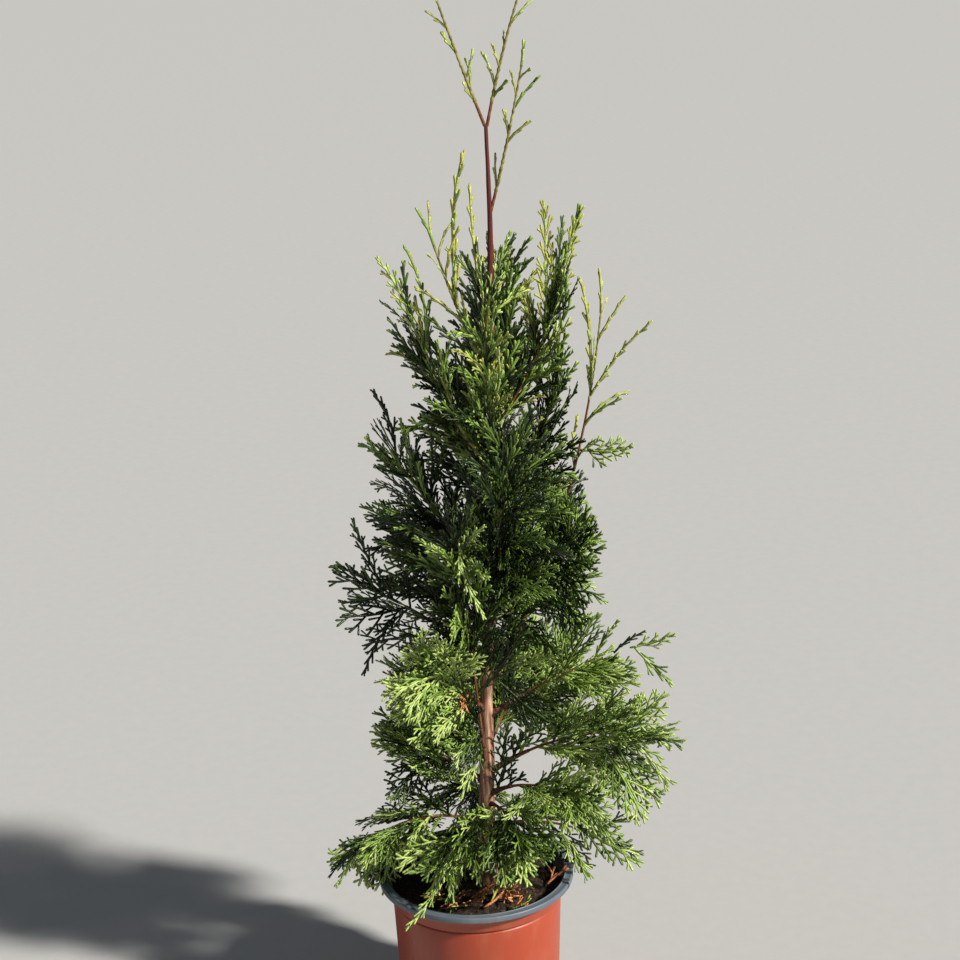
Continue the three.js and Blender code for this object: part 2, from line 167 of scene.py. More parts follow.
def plastic(name, tones, dust, roughness, dust_amount):
    material, nodes, links, shader = new_finish(name, roughness)
    patches = noise_on_object(nodes, links, BODY_GRAIN)
    body = ramp(nodes, links, patches, [(0.3, tones[0]), (0.7, tones[1])])
    film = noise_on_object(nodes, links, FILM_GRAIN, (1, 1, 0.35), 8)
    mask = ramp(nodes, links, film, [(FILM_FROM, (0, 0, 0)), (FILM_FULL, (dust_amount,) * 3)])
    dusty = nodes.new("ShaderNodeRGB")
    dusty.outputs[0].default_value = (*dust, 1)
    colour = blend_colours(nodes, links, mask, body, dusty.outputs[0])
    links.new(colour, shader.inputs["Base Color"])
    grain = noise_on_object(nodes, links, SCUFF_GRAIN, (1, 1, 0.2), 2)
    polished, scuffed = (roughness - POLISH,) * 3, (roughness + SCUFF,) * 3
    gloss = ramp(nodes, links, grain, [(0.2, polished), (0.8, scuffed)])
    links.new(gloss, shader.inputs["Roughness"])
    add_bump(nodes, links, shader, grain, 0.12, 0.0003)
    return material


terracotta = plastic(
    "terracotta_plastic", ((0.3, 0.043, 0.016), (0.36, 0.056, 0.021)), (0.44, 0.22, 0.13), 0.4, 0.3
)
grey_plastic = plastic(
    "grey_plastic", ((0.085, 0.11, 0.14), (0.12, 0.15, 0.185)), (0.3, 0.3, 0.28), 0.42, 0.35
)

# %% [markdown]
# ## Pot
#
# The pot is a body of revolution, so its profile is drawn once and spun round the axis, which
# keeps it truly round at a step count that reads as smooth. The profile runs from the middle
# of the floor out, up the outside with the stepped band, over the top edge and down inside.
# The drain arches at the foot are then pushed up into the spun mesh, as the press does it.

# %% Pot wall
# radius and height of each point
POT_PROFILE = [
    # the floor from the middle out, and the rounded foot
    (0, 0), (50, 0), (62, 0), (70, 0), (74.6, 0.5), (76.6, 2.2),
    # the outside
    (77.3, 7), (78.2, 30), (79.4, 60), (80.6, 90), (81.7, 118), (82.5, 134.8),
    # the groove, the band and the top edge
    (82.3, 135.9), (81.4, 136.6), (81.3, 137.4), (82.4, 138), (83.7, 138.7),
    (84.4, 140.5), (85.2, 145), (86.4, 149), (88.2, 152.4), (89.3, 153.7),
    # the inside, down to the middle of the floor
    (87.9, 153.7), (86.6, 151.8), (84.2, 146.5), (82.8, 142), (81, 137.5),
    (80.9, 134), (78, 60), (75.8, 6), (74, 2.2), (0, 2),
]
SPIN_STEPS = 144
FINE_SPIN_STEPS = 216
ARCH_COUNT = 8
ARCH_RADIUS = 6.5
ARCH_START, ARCH_RUN = 61, 6  # an arch starts at this radius and reaches its height over the run
FLOOR_MIDDLE = 1.5 * MM  # faces under this height belong to the underside
FLOOR_TOP = 10 * MM


def spun_mesh(profile, steps=SPIN_STEPS):
    mesh = bmesh.new()
    points = [mesh.verts.new((radius * MM, 0, height * MM)) for radius, height in profile]
    edges = [mesh.edges.new(pair) for pair in zip(points, points[1:])]
    bmesh.ops.spin(
        mesh,
        geom=points + edges,
        cent=(0, 0, 0),
        axis=(0, 0, 1),
        angle=math.tau,
        steps=steps,
        use_merge=True,
    )
    bmesh.ops.remove_doubles(mesh, verts=mesh.verts[:], dist=1e-6)
    bmesh.ops.recalc_face_normals(mesh, faces=mesh.faces[:])
    return mesh


def add_piece(name, data, materials, smooth=True):
    piece = bpy.data.objects.new(name, data)
    bpy.context.scene.collection.objects.link(piece)
    for material in materials:
        data.materials.append(material)
    if smooth:
        data.shade_smooth()
    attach(piece, "root")
    print(name, "-", len(data.polygons), "faces")
    return piece


def finish_piece(name, mesh, materials, smooth=True):
    data = bpy.data.meshes.new(name)
    mesh.to_mesh(data)
    mesh.free()
    return add_piece(name, data, materials, smooth)


def press_drain_arches(mesh):
    for vert in mesh.verts:
        radius = math.hypot(vert.co.x, vert.co.y) / MM
        if radius < ARCH_START or vert.co.z / MM > ARCH_RADIUS:
            continue
        turn = (math.atan2(vert.co.y, vert.co.x) / math.tau * ARCH_COUNT) % 1 - 0.5
        across = turn * math.tau / ARCH_COUNT * radius
        if abs(across) < ARCH_RADIUS:
            run = min(1, (radius - ARCH_START) / ARCH_RUN)
            arch = math.sqrt(ARCH_RADIUS**2 - across**2) * run
            vert.co.z = max(vert.co.z, arch * MM)


def is_inside(face):
    middle = face.calc_center_median()
    outward = Vector((middle.x, middle.y, 0)).normalized()
    turned_in = face.normal.dot(outward) < -0.05
    on_floor = face.normal.z > 0.7 and middle.z < FLOOR_TOP
    return (turned_in or on_floor) and middle.z > FLOOR_MIDDLE


wall = spun_mesh(POT_PROFILE, FINE_SPIN_STEPS)
press_drain_arches(wall)
for face in wall.faces:
    face.material_index = int(is_inside(face))
pot_wall = finish_piece("pot_wall_pressed", wall, [terracotta, grey_plastic])
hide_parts("pot_wall")

# %% [markdown]
# ## Rolled lip
#
# The lip is a grey ring nine millimetres wide with softly rounded edges. It is a spun
# rectangle whose four edges get a real bevel, because the bright line along a lip comes from
# that rounding. A shallow groove runs round its top, where the sheet was folded over.

# %% Pot lip
LIP_PROFILE = [
    (86, 154), (95, 154), (95, 160), (93.2, 160), (91.6, 159.5),
    (88.4, 159.5), (87.2, 160), (86, 160), (86, 154),
]
LIP_CORNER = math.radians(60)
LIP_ROUNDING = 1.3 * MM
lip = spun_mesh(LIP_PROFILE)
sharp = [edge for edge in lip.edges if edge.calc_face_angle(0) > LIP_CORNER]
bmesh.ops.bevel(
    lip,
    geom=sharp,
    offset=LIP_ROUNDING,
    affect="EDGES",
    segments=3,
    profile=0.5,
    material=-1,
)
pot_lip = finish_piece("pot_lip", lip, [grey_plastic])
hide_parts("pot_rim")

# %% [markdown]
# ## Potting soil
#
# The soil is dark, damp compost, crumbly and a little heaped round the trunk. A grid could be
# displaced by a modifier, but a spun disc keeps the edge truly round against the wall, and
# moving its points with noise in code gives crumbs of three sizes. The material is nearly black
# in the hollows and brown on the crumbs.


# %% Soil finish
def rough_organic(name, tones, scale, bump, roughness=0.9, stretch=(1, 1, 1)):
    material, nodes, links, shader = new_finish(name, roughness)
    grain = noise_on_object(nodes, links, scale, stretch, 8)
    stops = [(0.25 + 0.5 * i / (len(tones) - 1), tone) for i, tone in enumerate(tones)]
    links.new(ramp(nodes, links, grain, stops), shader.inputs["Base Color"])
    add_bump(nodes, links, shader, grain, bump, 0.001)
    shader.inputs["Specular IOR Level"].default_value = 0.25
    return material


compost = rough_organic(
    "damp_compost", [(0.006, 0.004, 0.003), (0.022, 0.014, 0.009), (0.07, 0.045, 0.028)], 260, 0.8
)

# %% Soil surface
SOIL_RADIUS = 83.0
SOIL_EDGE = 146.0
SOIL_CREST = 149.5
SOIL_CREST_RADIUS = 32.0
SOIL_RING = 0.7
SOIL_SIDE = [(82.6, 144), (80.4, 137), (80.3, 134), (75.3, 6), (74.8, 2.6), (0, 2.3)]
CRUMBS = [(160, 1.3), (420, 0.9), (45, 1.6)]  # noise per metre and height in millimetres


def soil_height(radius):
    share = (radius - SOIL_CREST_RADIUS) / (SOIL_RADIUS - SOIL_CREST_RADIUS)
    return SOIL_CREST + (SOIL_EDGE - SOIL_CREST) * min(1, max(0, share))


soil_top = [(r, soil_height(r)) for r in np.arange(0, SOIL_RADIUS - 0.1, SOIL_RING)]
soil = spun_mesh(soil_top + SOIL_SIDE, FINE_SPIN_STEPS)
for vert in soil.verts:
    if vert.co.z > (SOIL_EDGE - 1) * MM:
        vert.co.z += sum(noise.noise(vert.co * grain) * high for grain, high in CRUMBS) * MM
soil_piece = finish_piece("potting_soil_surface", soil, [compost])
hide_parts("potting_soil")

# %% [markdown]
# ## Litter on the soil
#
# Chips of bark lie on the compost, some half sunk. Each is a small ball of twenty faces,
# pressed flat and roughened. They are scattered with a seeded generator, at the height of the
# soil under them, and turned freely.

# %% Chips
CHIP_COUNT = 260
CHIP_SIZES = [(2, 7), (1, 3), (0.5, 1.2)]  # length, width and thickness
CHIP_LIFT = 0.8
chip_finish = rough_organic(
    "bark_chips", [(0.012, 0.007, 0.004), (0.05, 0.026, 0.014), (0.15, 0.085, 0.045)], 90, 0.7
)


def add_chip(mesh, rng):
    radius = (SOIL_RADIUS - 2) * math.sqrt(rng.uniform(0.02, 0.92))
    bearing = rng.uniform(0, math.tau)
    size = np.array([rng.uniform(*limits) for limits in CHIP_SIZES]) / 2 * MM
    level = soil_height(radius) + CHIP_LIFT
    spot = Vector((radius * math.cos(bearing), radius * math.sin(bearing), level))
    spin = Matrix.Rotation(rng.uniform(0, math.tau), 4, "Z")
    tilt = Matrix.Rotation(rng.uniform(-0.5, 0.5), 4, "X")
    verts = bmesh.ops.create_icosphere(mesh, subdivisions=1, radius=1)["verts"]
    for vert in verts:
        vert.co *= 1 + 0.35 * noise.noise(vert.co * 2 + spot)
    place = Matrix.Translation(spot * MM) @ (spin @ tilt) @ Matrix.Diagonal((*size, 1))
    bmesh.ops.transform(mesh, matrix=place, verts=verts)


chips = bmesh.new()
chip_rng = np.random.default_rng(7)
for _ in range(CHIP_COUNT):
    add_chip(chips, chip_rng)
chip_piece = finish_piece("bark_chips", chips, [chip_finish], smooth=False)

# %% [markdown]
# ## The growing rule
#
# The model's limbs follow a small table: where each limb leaves the trunk, its bearing, how
# far and how high it reaches, how steeply it sets off, how much of it is bare, and how its
# sprays stand. The same table and rule are written here again, with the same seeded random
# numbers, so that the finer growth lies on the same lines. Bearings are 0 to the right, 90
# to the back, 180 to the left and 270 to the front.

# %% The limb table
# heights, reaches and sprays in millimetres, angles in degrees, bare as a share of the limb
# name: foot, bearing, reach, tip, rise, bare, sprays, spray, roll
LIMB_ROWS = {
    "skirt_left": (208, 184, 156, 172, 30, 0.22, 5, 96, 60),
    "skirt_right": (203, 350, 150, 176, 26, 0.26, 4, 94, 50),
    "skirt_front": (232, 302, 80, 198, 20, 0.2, 4, 72, 0),
    "skirt_front_left": (220, 236, 94, 172, 24, 0.2, 4, 76, 30),
    "skirt_back": (214, 100, 126, 190, 24, 0.22, 4, 101, 10),
    "low_left": (326, 230, 100, 404, 56, 0.2, 6, 94, 62),
    "low_left_outer": (252, 178, 112, 300, 44, 0.2, 5, 96, 85),
    "low_right_high": (322, 2, 182, 398, 34, 0.24, 6, 105, 80),
    "low_right": (262, 350, 188, 312, 40, 0.26, 6, 105, 80),
    "low_right_front": (240, 322, 140, 262, 38, 0.26, 5, 92, 50),
    "low_back_left": (284, 134, 128, 330, 40, 0.22, 4, 108, 30),
    "low_back_right": (290, 58, 132, 342, 40, 0.22, 4, 108, 30),
    "mid_left": (374, 184, 146, 476, 52, 0.18, 7, 100, 85),
    "mid_left_high": (462, 176, 98, 616, 52, 0.16, 6, 99, 80),
    "mid_right": (424, 348, 98, 536, 48, 0.2, 5, 96, 80),
    "mid_front": (262, 252, 60, 540, 76, 0.2, 6, 92, 8),
    "mid_back_left": (398, 128, 112, 520, 46, 0.2, 4, 108, 30),
    "mid_back_right": (412, 56, 112, 536, 46, 0.2, 4, 108, 30),
    "right_riser": (348, 10, 122, 756, 60, 0.5, 5, 58, 80),
    "high_front": (428, 286, 72, 634, 58, 0.14, 7, 98, 8),
    "high_right": (520, 10, 68, 690, 52, 0.18, 5, 94, 80),
    "high_back": (516, 106, 76, 676, 50, 0.18, 5, 99, 20),
    "upper_left": (560, 180, 84, 772, 58, 0.14, 7, 78, 85),
    "upper_left_shoot": (650, 190, 60, 824, 66, 0, 4, 57, 85),
    "upper_right": (616, 2, 76, 820, 54, 0, 6, 76, 85),
    "upper_front": (572, 262, 50, 776, 58, 0, 5, 84, 8),
    "upper_back": (606, 84, 52, 790, 58, 0, 5, 81, 20),
    "leader_side": (812, 352, 36, 966, 74, 0, 4, 32, 80),
    "leader_left": (None, 184, 46, 1030, 70, 0, 3, 30, 85),
    "leader_right": (None, 2, 40, 1032, 78, 0, 3, 30, 85),
}
FIELDS = ("foot", "bearing", "reach", "tip", "rise", "bare", "sprays", "spray", "roll")
MASSES = {name: dict(zip(FIELDS, row)) for name, row in LIMB_ROWS.items()}
print("limbs:", len(MASSES))

# %% Seeded numbers
GAP = 0.3
UP = np.array((0.0, 0.0, 1.0))


def seeded(seed):
    state = [seed & 0xFFFFFFFF]

    def draw():
        state[0] = (state[0] + 0x6D2B79F5) & 0xFFFFFFFF
        t = state[0]
        t = ((t ^ (t >> 15)) * (t | 1)) & 0xFFFFFFFF
        t ^= (t + ((t ^ (t >> 7)) * (t | 61) & 0xFFFFFFFF)) & 0xFFFFFFFF
        return ((t ^ (t >> 14)) & 0xFFFFFFFF) / 4294967296

    return draw


def mix(low, high, share):
    return low + (high - low) * share


# %% [markdown]
# ## Trunk line
#
# The trunk leans to the right and wavers as it climbs. Its line passes through a few measured
# points, joined by the same smooth curve that the model uses, so the bark lies exactly where
# the model's trunk is.

# %% Trunk line
TRUNK_LINE = np.array(
    [
        (10.8, -0.2, 143.5),
        (14, 3, 260),
        (17, 4, 360),
        (25, 1, 480),
        (33, -2, 590),
        (32, 0, 735),
        (34, 1, 800),
        (33, 0, 894),
    ],
    dtype=float,
)


def trunk_point(t):
    points = np.vstack(
        (2 * TRUNK_LINE[0] - TRUNK_LINE[1], TRUNK_LINE, 2 * TRUNK_LINE[-1] - TRUNK_LINE[-2])
    )
    spans = len(TRUNK_LINE) - 1
    first = min(spans - 1, max(0, int(t * spans)))
    w = t * spans - first
    p0, p1, p2, p3 = points[first : first + 4]
    d0, d1, d2 = (np.linalg.norm(b - a) ** 0.5 for a, b in ((p0, p1), (p1, p2), (p2, p3)))
    m1 = ((p1 - p0) / d0 - (p2 - p0) / (d0 + d1) + (p2 - p1) / d1) * d1
    m2 = ((p2 - p1) / d1 - (p3 - p1) / (d1 + d2) + (p3 - p2) / d2) * d1
    return p1 + m1 * w + (3 * (p2 - p1) - 2 * m1 - m2) * w**2 + (2 * (p1 - p2) + m1 + m2) * w**3


HEIGHT_TRIES = 20


def trunk_at(height):
    low, high = trunk_point(0)[2], trunk_point(1)[2]
    t = (height - low) / (high - low)
    for _ in range(HEIGHT_TRIES):
        t += (height - trunk_point(t)[2]) / (high - low)
    return trunk_point(t)


# %% [markdown]
# ## Limb lines
#
# A limb is one smooth bend from its foot on the trunk to its tip: it sets off at its own
# rise and turns towards where it ends. A curve through three control points says exactly
# that, and at any share of it the rule asks for a frame: the way it runs, a level side
# direction, and the direction square to both.

# %% Limb lines
STEM_FOOT = 1.45


def limb_line(mass):
    bearing = math.radians(mass["bearing"])
    out = np.array((math.cos(bearing), math.sin(bearing), 0.0))
    if mass["foot"] is None:
        foot = trunk_point(1) + out * (STEM_FOOT + GAP / 2) + UP * GAP
    else:
        foot = trunk_at(mass["foot"])
    tip = foot + out * mass["reach"]
    tip[2] = mass["tip"]
    half = np.linalg.norm(tip - foot) / 2
    rise = math.radians(mass["rise"])
    elbow = foot + out * half * math.cos(rise) + UP * half * math.sin(rise)
    return foot, elbow, tip


def point_on(line, t):
    foot, elbow, tip = line
    return foot * (1 - t) ** 2 + elbow * 2 * t * (1 - t) + tip * t**2


def frame_on(line, t):
    foot, elbow, tip = line
    tangent = (elbow - foot) * (1 - t) + (tip - elbow) * t
    tangent /= np.linalg.norm(tangent)
    side = np.cross(UP, tangent)
    side /= np.linalg.norm(side)
    return point_on(line, t), tangent, side, np.cross(tangent, side)


LINES = {name: limb_line(mass) for name, mass in MASSES.items()}
LENGTH_STEPS = 40


def length_of(line):
    steps = [point_on(line, i / LENGTH_STEPS) for i in range(LENGTH_STEPS + 1)]
    return sum(np.linalg.norm(b - a) for a, b in zip(steps, steps[1:]))


LENGTHS = {name: length_of(line) for name, line in LINES.items()}
print("limb lengths in mm:", {name: round(length) for name, length in LENGTHS.items()})

# %% [markdown]
# ## Bark
#
# Thuja bark is thin and red-brown, and splits into long narrow strips that curl and fade to
# a pale fawn. On the young trunk the strips run straight up, so the colour noise is squeezed
# along the height. Its thin top hasn't split yet and is dark red, so the finish changes with
# the height. Limbs run in other directions, so they get similar tones with a rounder grain,
# and the youngest twigs are smooth and more orange.

# %% Bark finishes
BARK_TONES = [(0.06, 0.025, 0.015), (0.21, 0.095, 0.058), (0.46, 0.27, 0.18), (0.7, 0.5, 0.38)]
YOUNG_BARK = (0.1, 0.022, 0.02, 1)
YOUNG_FROM, YOUNG_ABOVE = 0.52, 0.74  # metres over the floor


def redden_top(material):
    nodes, links = material.node_tree.nodes, material.node_tree.links
    base = nodes["Principled BSDF"].inputs["Base Color"]
    place = nodes.new("ShaderNodeSeparateXYZ")
    links.new(nodes.new("ShaderNodeTexCoord").outputs["Object"], place.inputs["Vector"])
    youth = nodes.new("ShaderNodeMapRange")
    youth.inputs["From Min"].default_value = YOUNG_FROM
    youth.inputs["From Max"].default_value = YOUNG_ABOVE
    links.new(place.outputs["Z"], youth.inputs["Value"])
    mixed = nodes.new("ShaderNodeMix")
    mixed.data_type = "RGBA"
    mixed.inputs["B"].default_value = YOUNG_BARK
    links.new(youth.outputs["Result"], mixed.inputs["Factor"])
    links.new(base.links[0].from_socket, mixed.inputs["A"])
    links.new(mixed.outputs["Result"], base)


trunk_bark = rough_organic("strip_bark", BARK_TONES, 330, 0.9, 0.8, (1, 1, 0.07))
redden_top(trunk_bark)

BOUGH_TONES = [(0.03, 0.012, 0.008), (0.1, 0.04, 0.022), (0.24, 0.125, 0.075)]
bough_bark = rough_organic("bough_bark", BOUGH_TONES, 300, 0.6, 0.78)
TWIG_TONES = [(0.06, 0.02, 0.01), (0.16, 0.055, 0.022), (0.26, 0.13, 0.055)]
twig_bark = rough_organic("young_twig_bark", TWIG_TONES, 240, 0.3, 0.62)
SHOOT_TONES = [(0.07, 0.045, 0.014), (0.2, 0.18, 0.045), (0.36, 0.36, 0.12)]
shoot_bark = rough_organic("green_shoot", SHOOT_TONES, 200, 0.4, 0.5)

# %% [markdown]
# ## Trunk and boughs
#
# A limb is a tapered tube. It starts as a cone with no taper, is cut into many rings along
# its height, and then each point is moved: the ring takes its place and tilt on the limb's
# line, its size from the taper, and a little bark relief from noise that changes quickly
# round the limb and slowly along it.


# %% Tubes on a line
BARK_ROUND, BARK_ALONG = 2.4, 0.12  # how fast the relief changes round and along a limb
BARK_LIFT = 0.4


def tube(place_on, radius_at, sides, rings, relief):
    mesh = bmesh.new()
    bmesh.ops.create_cone(mesh, cap_ends=True, segments=sides, radius1=1, radius2=1, depth=1)
    uprights = [e for e in mesh.edges if abs(e.verts[0].co.z - e.verts[1].co.z) > 0.5]
    bmesh.ops.subdivide_edges(mesh, edges=uprights, cuts=rings - 1, use_grid_fill=True)
    for vert in mesh.verts:
        share = round((vert.co.z + 0.5) * rings) / rings
        point, side, lift = place_on(share)
        across = vert.co.x * BARK_ROUND, vert.co.y * BARK_ROUND
        bark = noise.noise(Vector((*across, share * rings * BARK_ALONG)))
        radius = radius_at(share) * (1 + relief * (bark + BARK_LIFT))
        place = point + (side * vert.co.x + lift * vert.co.y) * radius
        vert.co = Vector(place * MM)
    return mesh


TRUNK_FOOT, TRUNK_TIP, TRUNK_TAPER = 9, 1.5, 0.61
FLARE, FLARE_HEIGHT = 4, 13
TRUNK_SIDES, TRUNK_RINGS = 24, 300
TRUNK_RELIEF = 0.16
TANGENT_STEP = 0.004


def trunk_frame(share):
    point = trunk_point(share)
    ahead, behind = min(1, share + TANGENT_STEP), max(0, share - TANGENT_STEP)
    tangent = trunk_point(ahead) - trunk_point(behind)
    tangent /= np.linalg.norm(tangent)
    side = np.array((1.0, 0.0, 0.0)) - tangent * tangent[0]
    side /= np.linalg.norm(side)
    return point, side, np.cross(tangent, side)


def trunk_radius(share):
    over_soil = share * (TRUNK_LINE[-1][2] - SOIL_CREST)
    taper = mix(TRUNK_FOOT, TRUNK_TIP, share**TRUNK_TAPER)
    return taper + FLARE * math.exp(-over_soil / FLARE_HEIGHT)


trunk_mesh = tube(trunk_frame, trunk_radius, TRUNK_SIDES, TRUNK_RINGS, TRUNK_RELIEF)
trunk_piece = finish_piece("trunk_bark", trunk_mesh, [trunk_bark])
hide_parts("trunk")


# %% Boughs
def join_meshes(meshes):
    joined = bmesh.new()
    for mesh in meshes:
        data = bpy.data.meshes.new("part")
        mesh.to_mesh(data)
        mesh.free()
        joined.from_mesh(data)
        bpy.data.meshes.remove(data)
    return joined


def limb_tube(name, start, end, radius_at, sides, rings, relief):
    def place_on(share):
        point, _, side, lift = frame_on(LINES[name], mix(start, end, share))
        return point, side, lift

    return tube(place_on, radius_at, sides, rings, relief)


BOUGH_FOOT, BOUGH_TIP = 2.8, 1.5
BOUGH_SWELL, SWELL_RUN = 1.5, 6  # a bough is thicker where it leaves the trunk
THINNEST, THICKEST, LONG_REACH = 0.8, 1.15, 180  # long limbs are stouter
BOUGH_SIDES, BOUGH_RING, BOUGH_RELIEF = 12, 1.6, 0.14


def bough_tube(name):
    mass = MASSES[name]
    length = LENGTHS[name] * mass["bare"]
    thick = mix(THINNEST, THICKEST, min(1, mass["reach"] / LONG_REACH))

    def radius(share):
        swell = BOUGH_SWELL * math.exp(-share * length / SWELL_RUN)
        return (mix(BOUGH_FOOT, BOUGH_TIP, share) + swell) * thick

    rings = max(8, int(length / BOUGH_RING))
    return limb_tube(name, 0, mass["bare"], radius, BOUGH_SIDES, rings, BOUGH_RELIEF)


boughs = [bough_tube(name) for name, mass in MASSES.items() if mass["bare"]]
bough_piece = finish_piece("boughs_bark", join_meshes(boughs), [bough_bark])
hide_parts(*[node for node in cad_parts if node.startswith("bough_")])

# %% [markdown]
# ## How a spray is put together
#
# A thuja spray is flat. An axis carries side twigs in turn left and right, each side twig
# carries short branchlets in the same way, and every one of them is covered in scale leaves
# that make it about two millimetres wide, flattened, and blunt at the tip. So the same small
# shape is enough for all of them: a four-sided rod, wider than it is thick, widest near its
# end. A few sprays of each length are built once as arrays of points, and are then planted
# by the hundred, because thousands of separate objects would be slow to render.


# %% Rods of scale leaves
LEAF_FLATNESS = 0.5
BLUNT_END = 0.6  # length of a rod's closing point, in widths


class SprayMesh:
    """Points, triangles, and each triangle's twig and how far out on the spray it is."""

    def __init__(self):
        self.points, self.faces, self.age, self.twig = [], [], [], []

    def rod(self, path, widths, age, twig=0):
        base = len(self.points)
        path = np.array(path)
        last = len(path) - 1
        for i, (point, width) in enumerate(zip(path, widths)):
            ahead = path[min(i + 1, last)] - path[max(i - 1, 0)]
            ahead = ahead / np.linalg.norm(ahead)
            across = np.array((-ahead[1], ahead[0], 0)) * width / 2
            thick = np.array((0, 0, width * LEAF_FLATNESS / 2))
            self.points += [point + across, point + thick, point - across, point - thick]
        ahead = path[-1] - path[-2]
        self.points.append(path[-1] + ahead / np.linalg.norm(ahead) * widths[-1] * BLUNT_END)
        for ring in range(last):
            for k in range(4):
                a, b = base + ring * 4 + k, base + ring * 4 + (k + 1) % 4
                self.faces += [(a, b, a + 4), (b, b + 4, a + 4)]
        end = base + last * 4
        self.faces += [(end + k, end + (k + 1) % 4, end + 4) for k in range(4)]
        self.faces += [(base, base + 2, base + 1), (base, base + 3, base + 2)]
        self.age += [age] * (last * 8 + 6)
        self.twig += [twig] * (last * 8 + 6)

    def as_arrays(self):
        return [np.array(part) for part in (self.points, self.faces, self.age, self.twig)]


# %% [markdown]
# ## Habits of spray
#
# Low down and in the shade the plant makes broad ferny fans, more open ones in the dark lobe
# on the left. Higher up the twigs point forward like a broom, and narrow plumes stand between
# them. The newest shoots are slim whips with a few short branchlets. One rule makes them all
# from a handful of numbers: how far apart side twigs and branchlets stand, at what angle, and
# how long they get.

# %% Spray habits
HABITS = {
    "fan": dict(
        pitch=6.4, angle=42, reach=0.46, leaf_pitch=4.7, leaf_angle=39, leaf=(17, 9), width=2.6
    ),
    "open_fan": dict(
        pitch=8.2, angle=42, reach=0.46, leaf_pitch=6, leaf_angle=40, leaf=(16, 8), width=2.3
    ),
    "broom": dict(
        pitch=6.8, angle=29, reach=0.36, leaf_pitch=5.4, leaf_angle=28, leaf=(15, 8), width=2.1
    ),
    "plume": dict(
        pitch=6.4, angle=27, reach=0.22, leaf_pitch=5, leaf_angle=30, leaf=(12, 7), width=2
    ),
    "whip": dict(
        pitch=8.5, angle=25, reach=0.1, leaf_pitch=5.2, leaf_angle=26, leaf=(7, 6), width=2.1
    ),
}
FORWARD_BEND = 0.28  # side twigs turn towards the spray's tip by this many radians
AXIS_BEND, AXIS_WOBBLE = 0.3, 0.05  # radians over the whole axis and at each step
AXIS_WIDTHS, TWIG_WIDTHS = (1.2, 0.95), (0.85, 1)  # at the foot and the tip
NODES = (0.84, 1.08)  # the axis is a little thicker at every other step
TWIG_RISE = 0.16
LEAF_NECK, LEAF_BODY = 0.7, 0.75  # width at a branchlet's foot, and where it is widest
LEAF_WIDTHS = (0.85, 1)
LEAF_AGE = 0.15  # branchlets near a twig's tip are this much younger
SHORT_TWIG, FULL_TWIG = 0.45, 36  # short twigs carry shorter branchlets
SHORTEST_TWIG, TWIG_STEP = 5, 9
BEND_SPREAD = (0.5, 1.3)
TWIG_SPREAD = (0.78, 1.12)
ANGLE_SPREAD = (0.88, 1.12)
LEAF_SPREAD = (0.72, 1.12)
LEAF_ANGLE_SPREAD = (0.85, 1.15)


def turned(heading, angle):
    c, s = math.cos(angle), math.sin(angle)
    return np.array((heading[0] * c - heading[1] * s, heading[0] * s + heading[1] * c, heading[2]))


def grow_twig(spray, rng, start, heading, reach, side, age, habit, twig):
    steps = max(1, round(reach / TWIG_STEP))
    rise = rng.uniform(-TWIG_RISE, TWIG_RISE)
    path, point = [start], start
    for _ in range(steps):
        heading = turned(heading, -side * FORWARD_BEND / steps * rng.uniform(*BEND_SPREAD))
        point = point + (heading + np.array((0, 0, rise))) * reach / steps
        path.append(point)
    widths = [habit["width"] * mix(*TWIG_WIDTHS, i / steps) for i in range(steps + 1)]
    spray.rod(path, widths, age, twig)
    branchlets = int((reach - 3) / habit["leaf_pitch"])
    for k in range(branchlets):
        along = (k + 0.8) * habit["leaf_pitch"] / reach
        low = min(int(along * steps), steps - 1)
        root = mix(path[low], path[low + 1], along * steps - low)
        ahead = path[low + 1] - path[low]
        ahead = ahead / np.linalg.norm(ahead)
        hand = side if k % 2 else -side
        stunted = min(1, SHORT_TWIG + reach / FULL_TWIG)
        size = mix(*habit["leaf"], along) * rng.uniform(*LEAF_SPREAD) * stunted
        angle = math.radians(habit["leaf_angle"]) * rng.uniform(*LEAF_ANGLE_SPREAD)
        way = turned(ahead, hand * angle)
        width = habit["width"] * rng.uniform(*LEAF_WIDTHS)
        shape = [root, root + way * size * LEAF_BODY]
        spray.rod(shape, [width * LEAF_NECK, width], age + LEAF_AGE * along, twig)


def outline_at(share):
    """A spray widens quickly from its foot and closes slowly towards its tip."""
    return min(1, 0.5 + share * 2.2) * (1 - share) ** 0.65


def build_spray(length, habit, seed):
    """A flat spray along +X, in millimetres."""
    rng = np.random.default_rng(seed)
    spray = SprayMesh()
    count = max(3, round(length / habit["pitch"]))
    bend = rng.uniform(-AXIS_BEND, AXIS_BEND)
    point, heading = np.zeros(3), np.array((1.0, 0.0, 0.0))
    axis, headings = [point], [heading]
    for _ in range(count):
        heading = turned(heading, bend / count + rng.uniform(-AXIS_WOBBLE, AXIS_WOBBLE))
        point = point + heading * length / count
        axis.append(point)
        headings.append(heading)
    widths = [
        habit["width"] * mix(*AXIS_WIDTHS, i / count) * NODES[i % 2] for i in range(count + 1)
    ]
    spray.rod(axis, widths, 0.0)
    for i in range(1, count):
        share = i / count
        side = 1 if i % 2 else -1
        widest = length * habit["reach"]
        reach = widest * outline_at(share) * rng.uniform(*TWIG_SPREAD) + SHORTEST_TWIG
        angle = math.radians(habit["angle"]) * rng.uniform(*ANGLE_SPREAD)
        heading = turned(headings[i], side * angle)
        grow_twig(spray, rng, axis[i], heading, reach, side, share, habit, i)
    return spray


# %% Spray templates
SPRAY_LENGTHS = (20, 28, 38, 50, 64, 82, 104)
VARIANTS = 5

